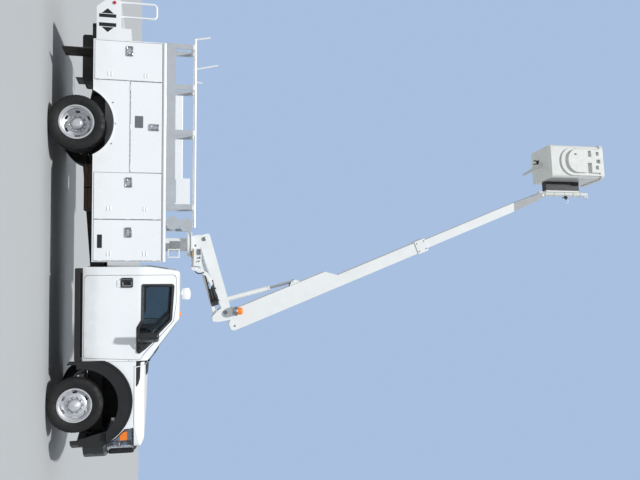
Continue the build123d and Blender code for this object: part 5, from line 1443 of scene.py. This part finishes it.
    def pin_heads(self) -> None:
        """Build keeper plates and bolts over the ends of the main pins, and the collar's bolts."""
        heads = {"turret": [(at(1690, 0, 2345), 34), (at(1800, 0, 2205), 18)],
                 "elbow_head": [(at(2920, 0, 2700), 32), (at(2918, 0, 2890), 34)]}
        for body, places in heads.items():
            mesh = bmesh.new()
            for centre, radius in places:
                for side in (-1, 1):
                    reach = 0.130 if radius > 20 else 0.122
                    near = Vector((centre.x, side * (reach - 0.001), centre.z))
                    far = Vector((centre.x, side * (reach + 0.010), centre.z))
                    add_round(mesh, near, far, ((0, radius), (0.55, radius), (0.7, radius - 3), (0.72, 11),
                                                (0.95, 11), (1, 9)),
                              18)
            finish_piece(from_bmesh(f"pin_heads_{body}", mesh), ZINC, body)
        bolts = bmesh.new()
        for side in (-1, 1):
            for a in (3430, 3570):
                for b in (110, 254):
                    add_round(bolts, self.boom(a, b, side * 105), self.boom(a, b, side * 113),
                              ((0, 12), (0.6, 12), (1, 8)), 10)
            add_round(bolts, self.boom(-105, 209, side * 91), self.boom(-105, 209, side * 104),
                      ((0, 17), (0.3, 17), (0.35, 13), (0.9, 13), (1, 9)), 12)
        finish_piece(from_bmesh("boom_bolts", bolts), ZINC, "upper_boom")

    def beacon(self) -> None:
        """Build the warning beacon: a grey moulded base and a clear amber dome."""
        x, y, z = self.beacon_at
        base = bmesh.new()
        add_round(base, at(x, y, z - 32), at(x, y, z + 44),
                  ((0, 48), (0.1, 60), (0.3, 68), (0.5, 79), (0.72, 80),
                                                             (0.84, 76), (0.9, 68), (1, 64)), 32)
        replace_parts(finish_piece(from_bmesh("beacon_base", base), ZINC, "elbow_head"), "beacon")
        dome = bmesh.new()
        add_round(dome, at(x, y, z + 43), at(x, y, z + 134),
                  ((0, 62), (0.25, 61.5), (0.62, 59), (0.82, 52), (0.93, 40), (0.98, 24), (1, 9)), 32)
        finish_piece(from_bmesh("beacon_dome", dome), AMBER_GLOW, "elbow_head")

    def mount_shade_sheet(self) -> None:
        """Fold a black sheet of painted shade round the bucket's mount plate."""
        mesh = bmesh.new()
        rings = []
        for z, gap in ((57, 6), (57, 0), (753, 0), (753, 6)):
            ring = [(312, -3 + gap), (484 - gap, -3 + gap), (484 - gap, 133 - gap), (312, 133 - gap)]
            rings.append([self.tub(x, y, z) for x, y in ring])
        sweep_rings(mesh, rings)
        # The sheet's black is painted shade over the mount plate
        finish_piece(from_bmesh("mount_shade_sheet", mesh), DARK_SHEET, "bucket_body", bevel=3)

    def bucket_valves(self) -> None:
        """Build the small valve with its white levers on the bucket's sleeve."""
        block, levers = bmesh.new(), bmesh.new()
        centre = at(777, 0, 9150)
        out = Vector((0.92, -0.38, 0))
        add_round(block, centre + out * 0.05, centre + out * 0.115, ((0, 26), (0.5, 26), (0.6, 20), (1, 18)),
                  18)
        add_round(block, centre + out * 0.08 - Vector((0, 0, 0.075)),
                  centre + out * 0.08 + Vector((0, 0, 0.03)),
                  ((0, 9), (0.3, 9), (0.35, 15), (1, 15)), 14)
        finish_piece(from_bmesh("bucket_valve", block), DARK_SHEET, "bucket_body")
        start = centre + out * 0.10
        add_pipe(levers, smooth_line([start, start + Vector((0.03, 0, 0.03)),
                                      start + Vector((0.07, 0, 0.035)),
                                      start + Vector((0.085, 0, -0.005))], 4), 8)
        finish_piece(from_bmesh("bucket_lever", levers), LIFT_ENAMEL, "bucket_body")
        drain = bmesh.new()
        sweep_rings(drain, [[self.tub(x, y, z) for x, y in ((-120, 92), (-60, 84), (-44, 160), (-110, 176))]
                            for z in (2, -8)])
        for x, y, lean in ((-100, 120, -16), (-62, 140, 18)):
            add_pipe(drain, smooth_line([self.tub(x, y, -4), self.tub(x + lean * 0.4, y, -40),
                                         self.tub(x + lean, y + 6, -84)], 4), 11)
        finish_piece(from_bmesh("bucket_drain", drain), DARK_SHEET, "bucket_body", bevel=1)

    def build(self) -> None:
        """Make the lift gear's pieces."""
        self.under_hoses()
        self.loop_hose()
        self.turntable_fittings()
        self.hose_guide()
        self.slotted_cover()
        self.pin_heads()
        self.beacon()
        # The black sheet round the bucket's mount is painted shade
        self.mount_shade_sheet()
        self.bucket_valves()


def main() -> None:
    """Build everything in order."""
    logging.basicConfig(level=logging.INFO, format="%(name)s: %(message)s")
    for part in (Studio(), Dressing(), RunningGear(), ServiceBody(), Cab(), Nose(), Lift()):
        part.build()
        LOG.info("built %s", type(part).__name__)


if __name__ == "__main__":
    main()
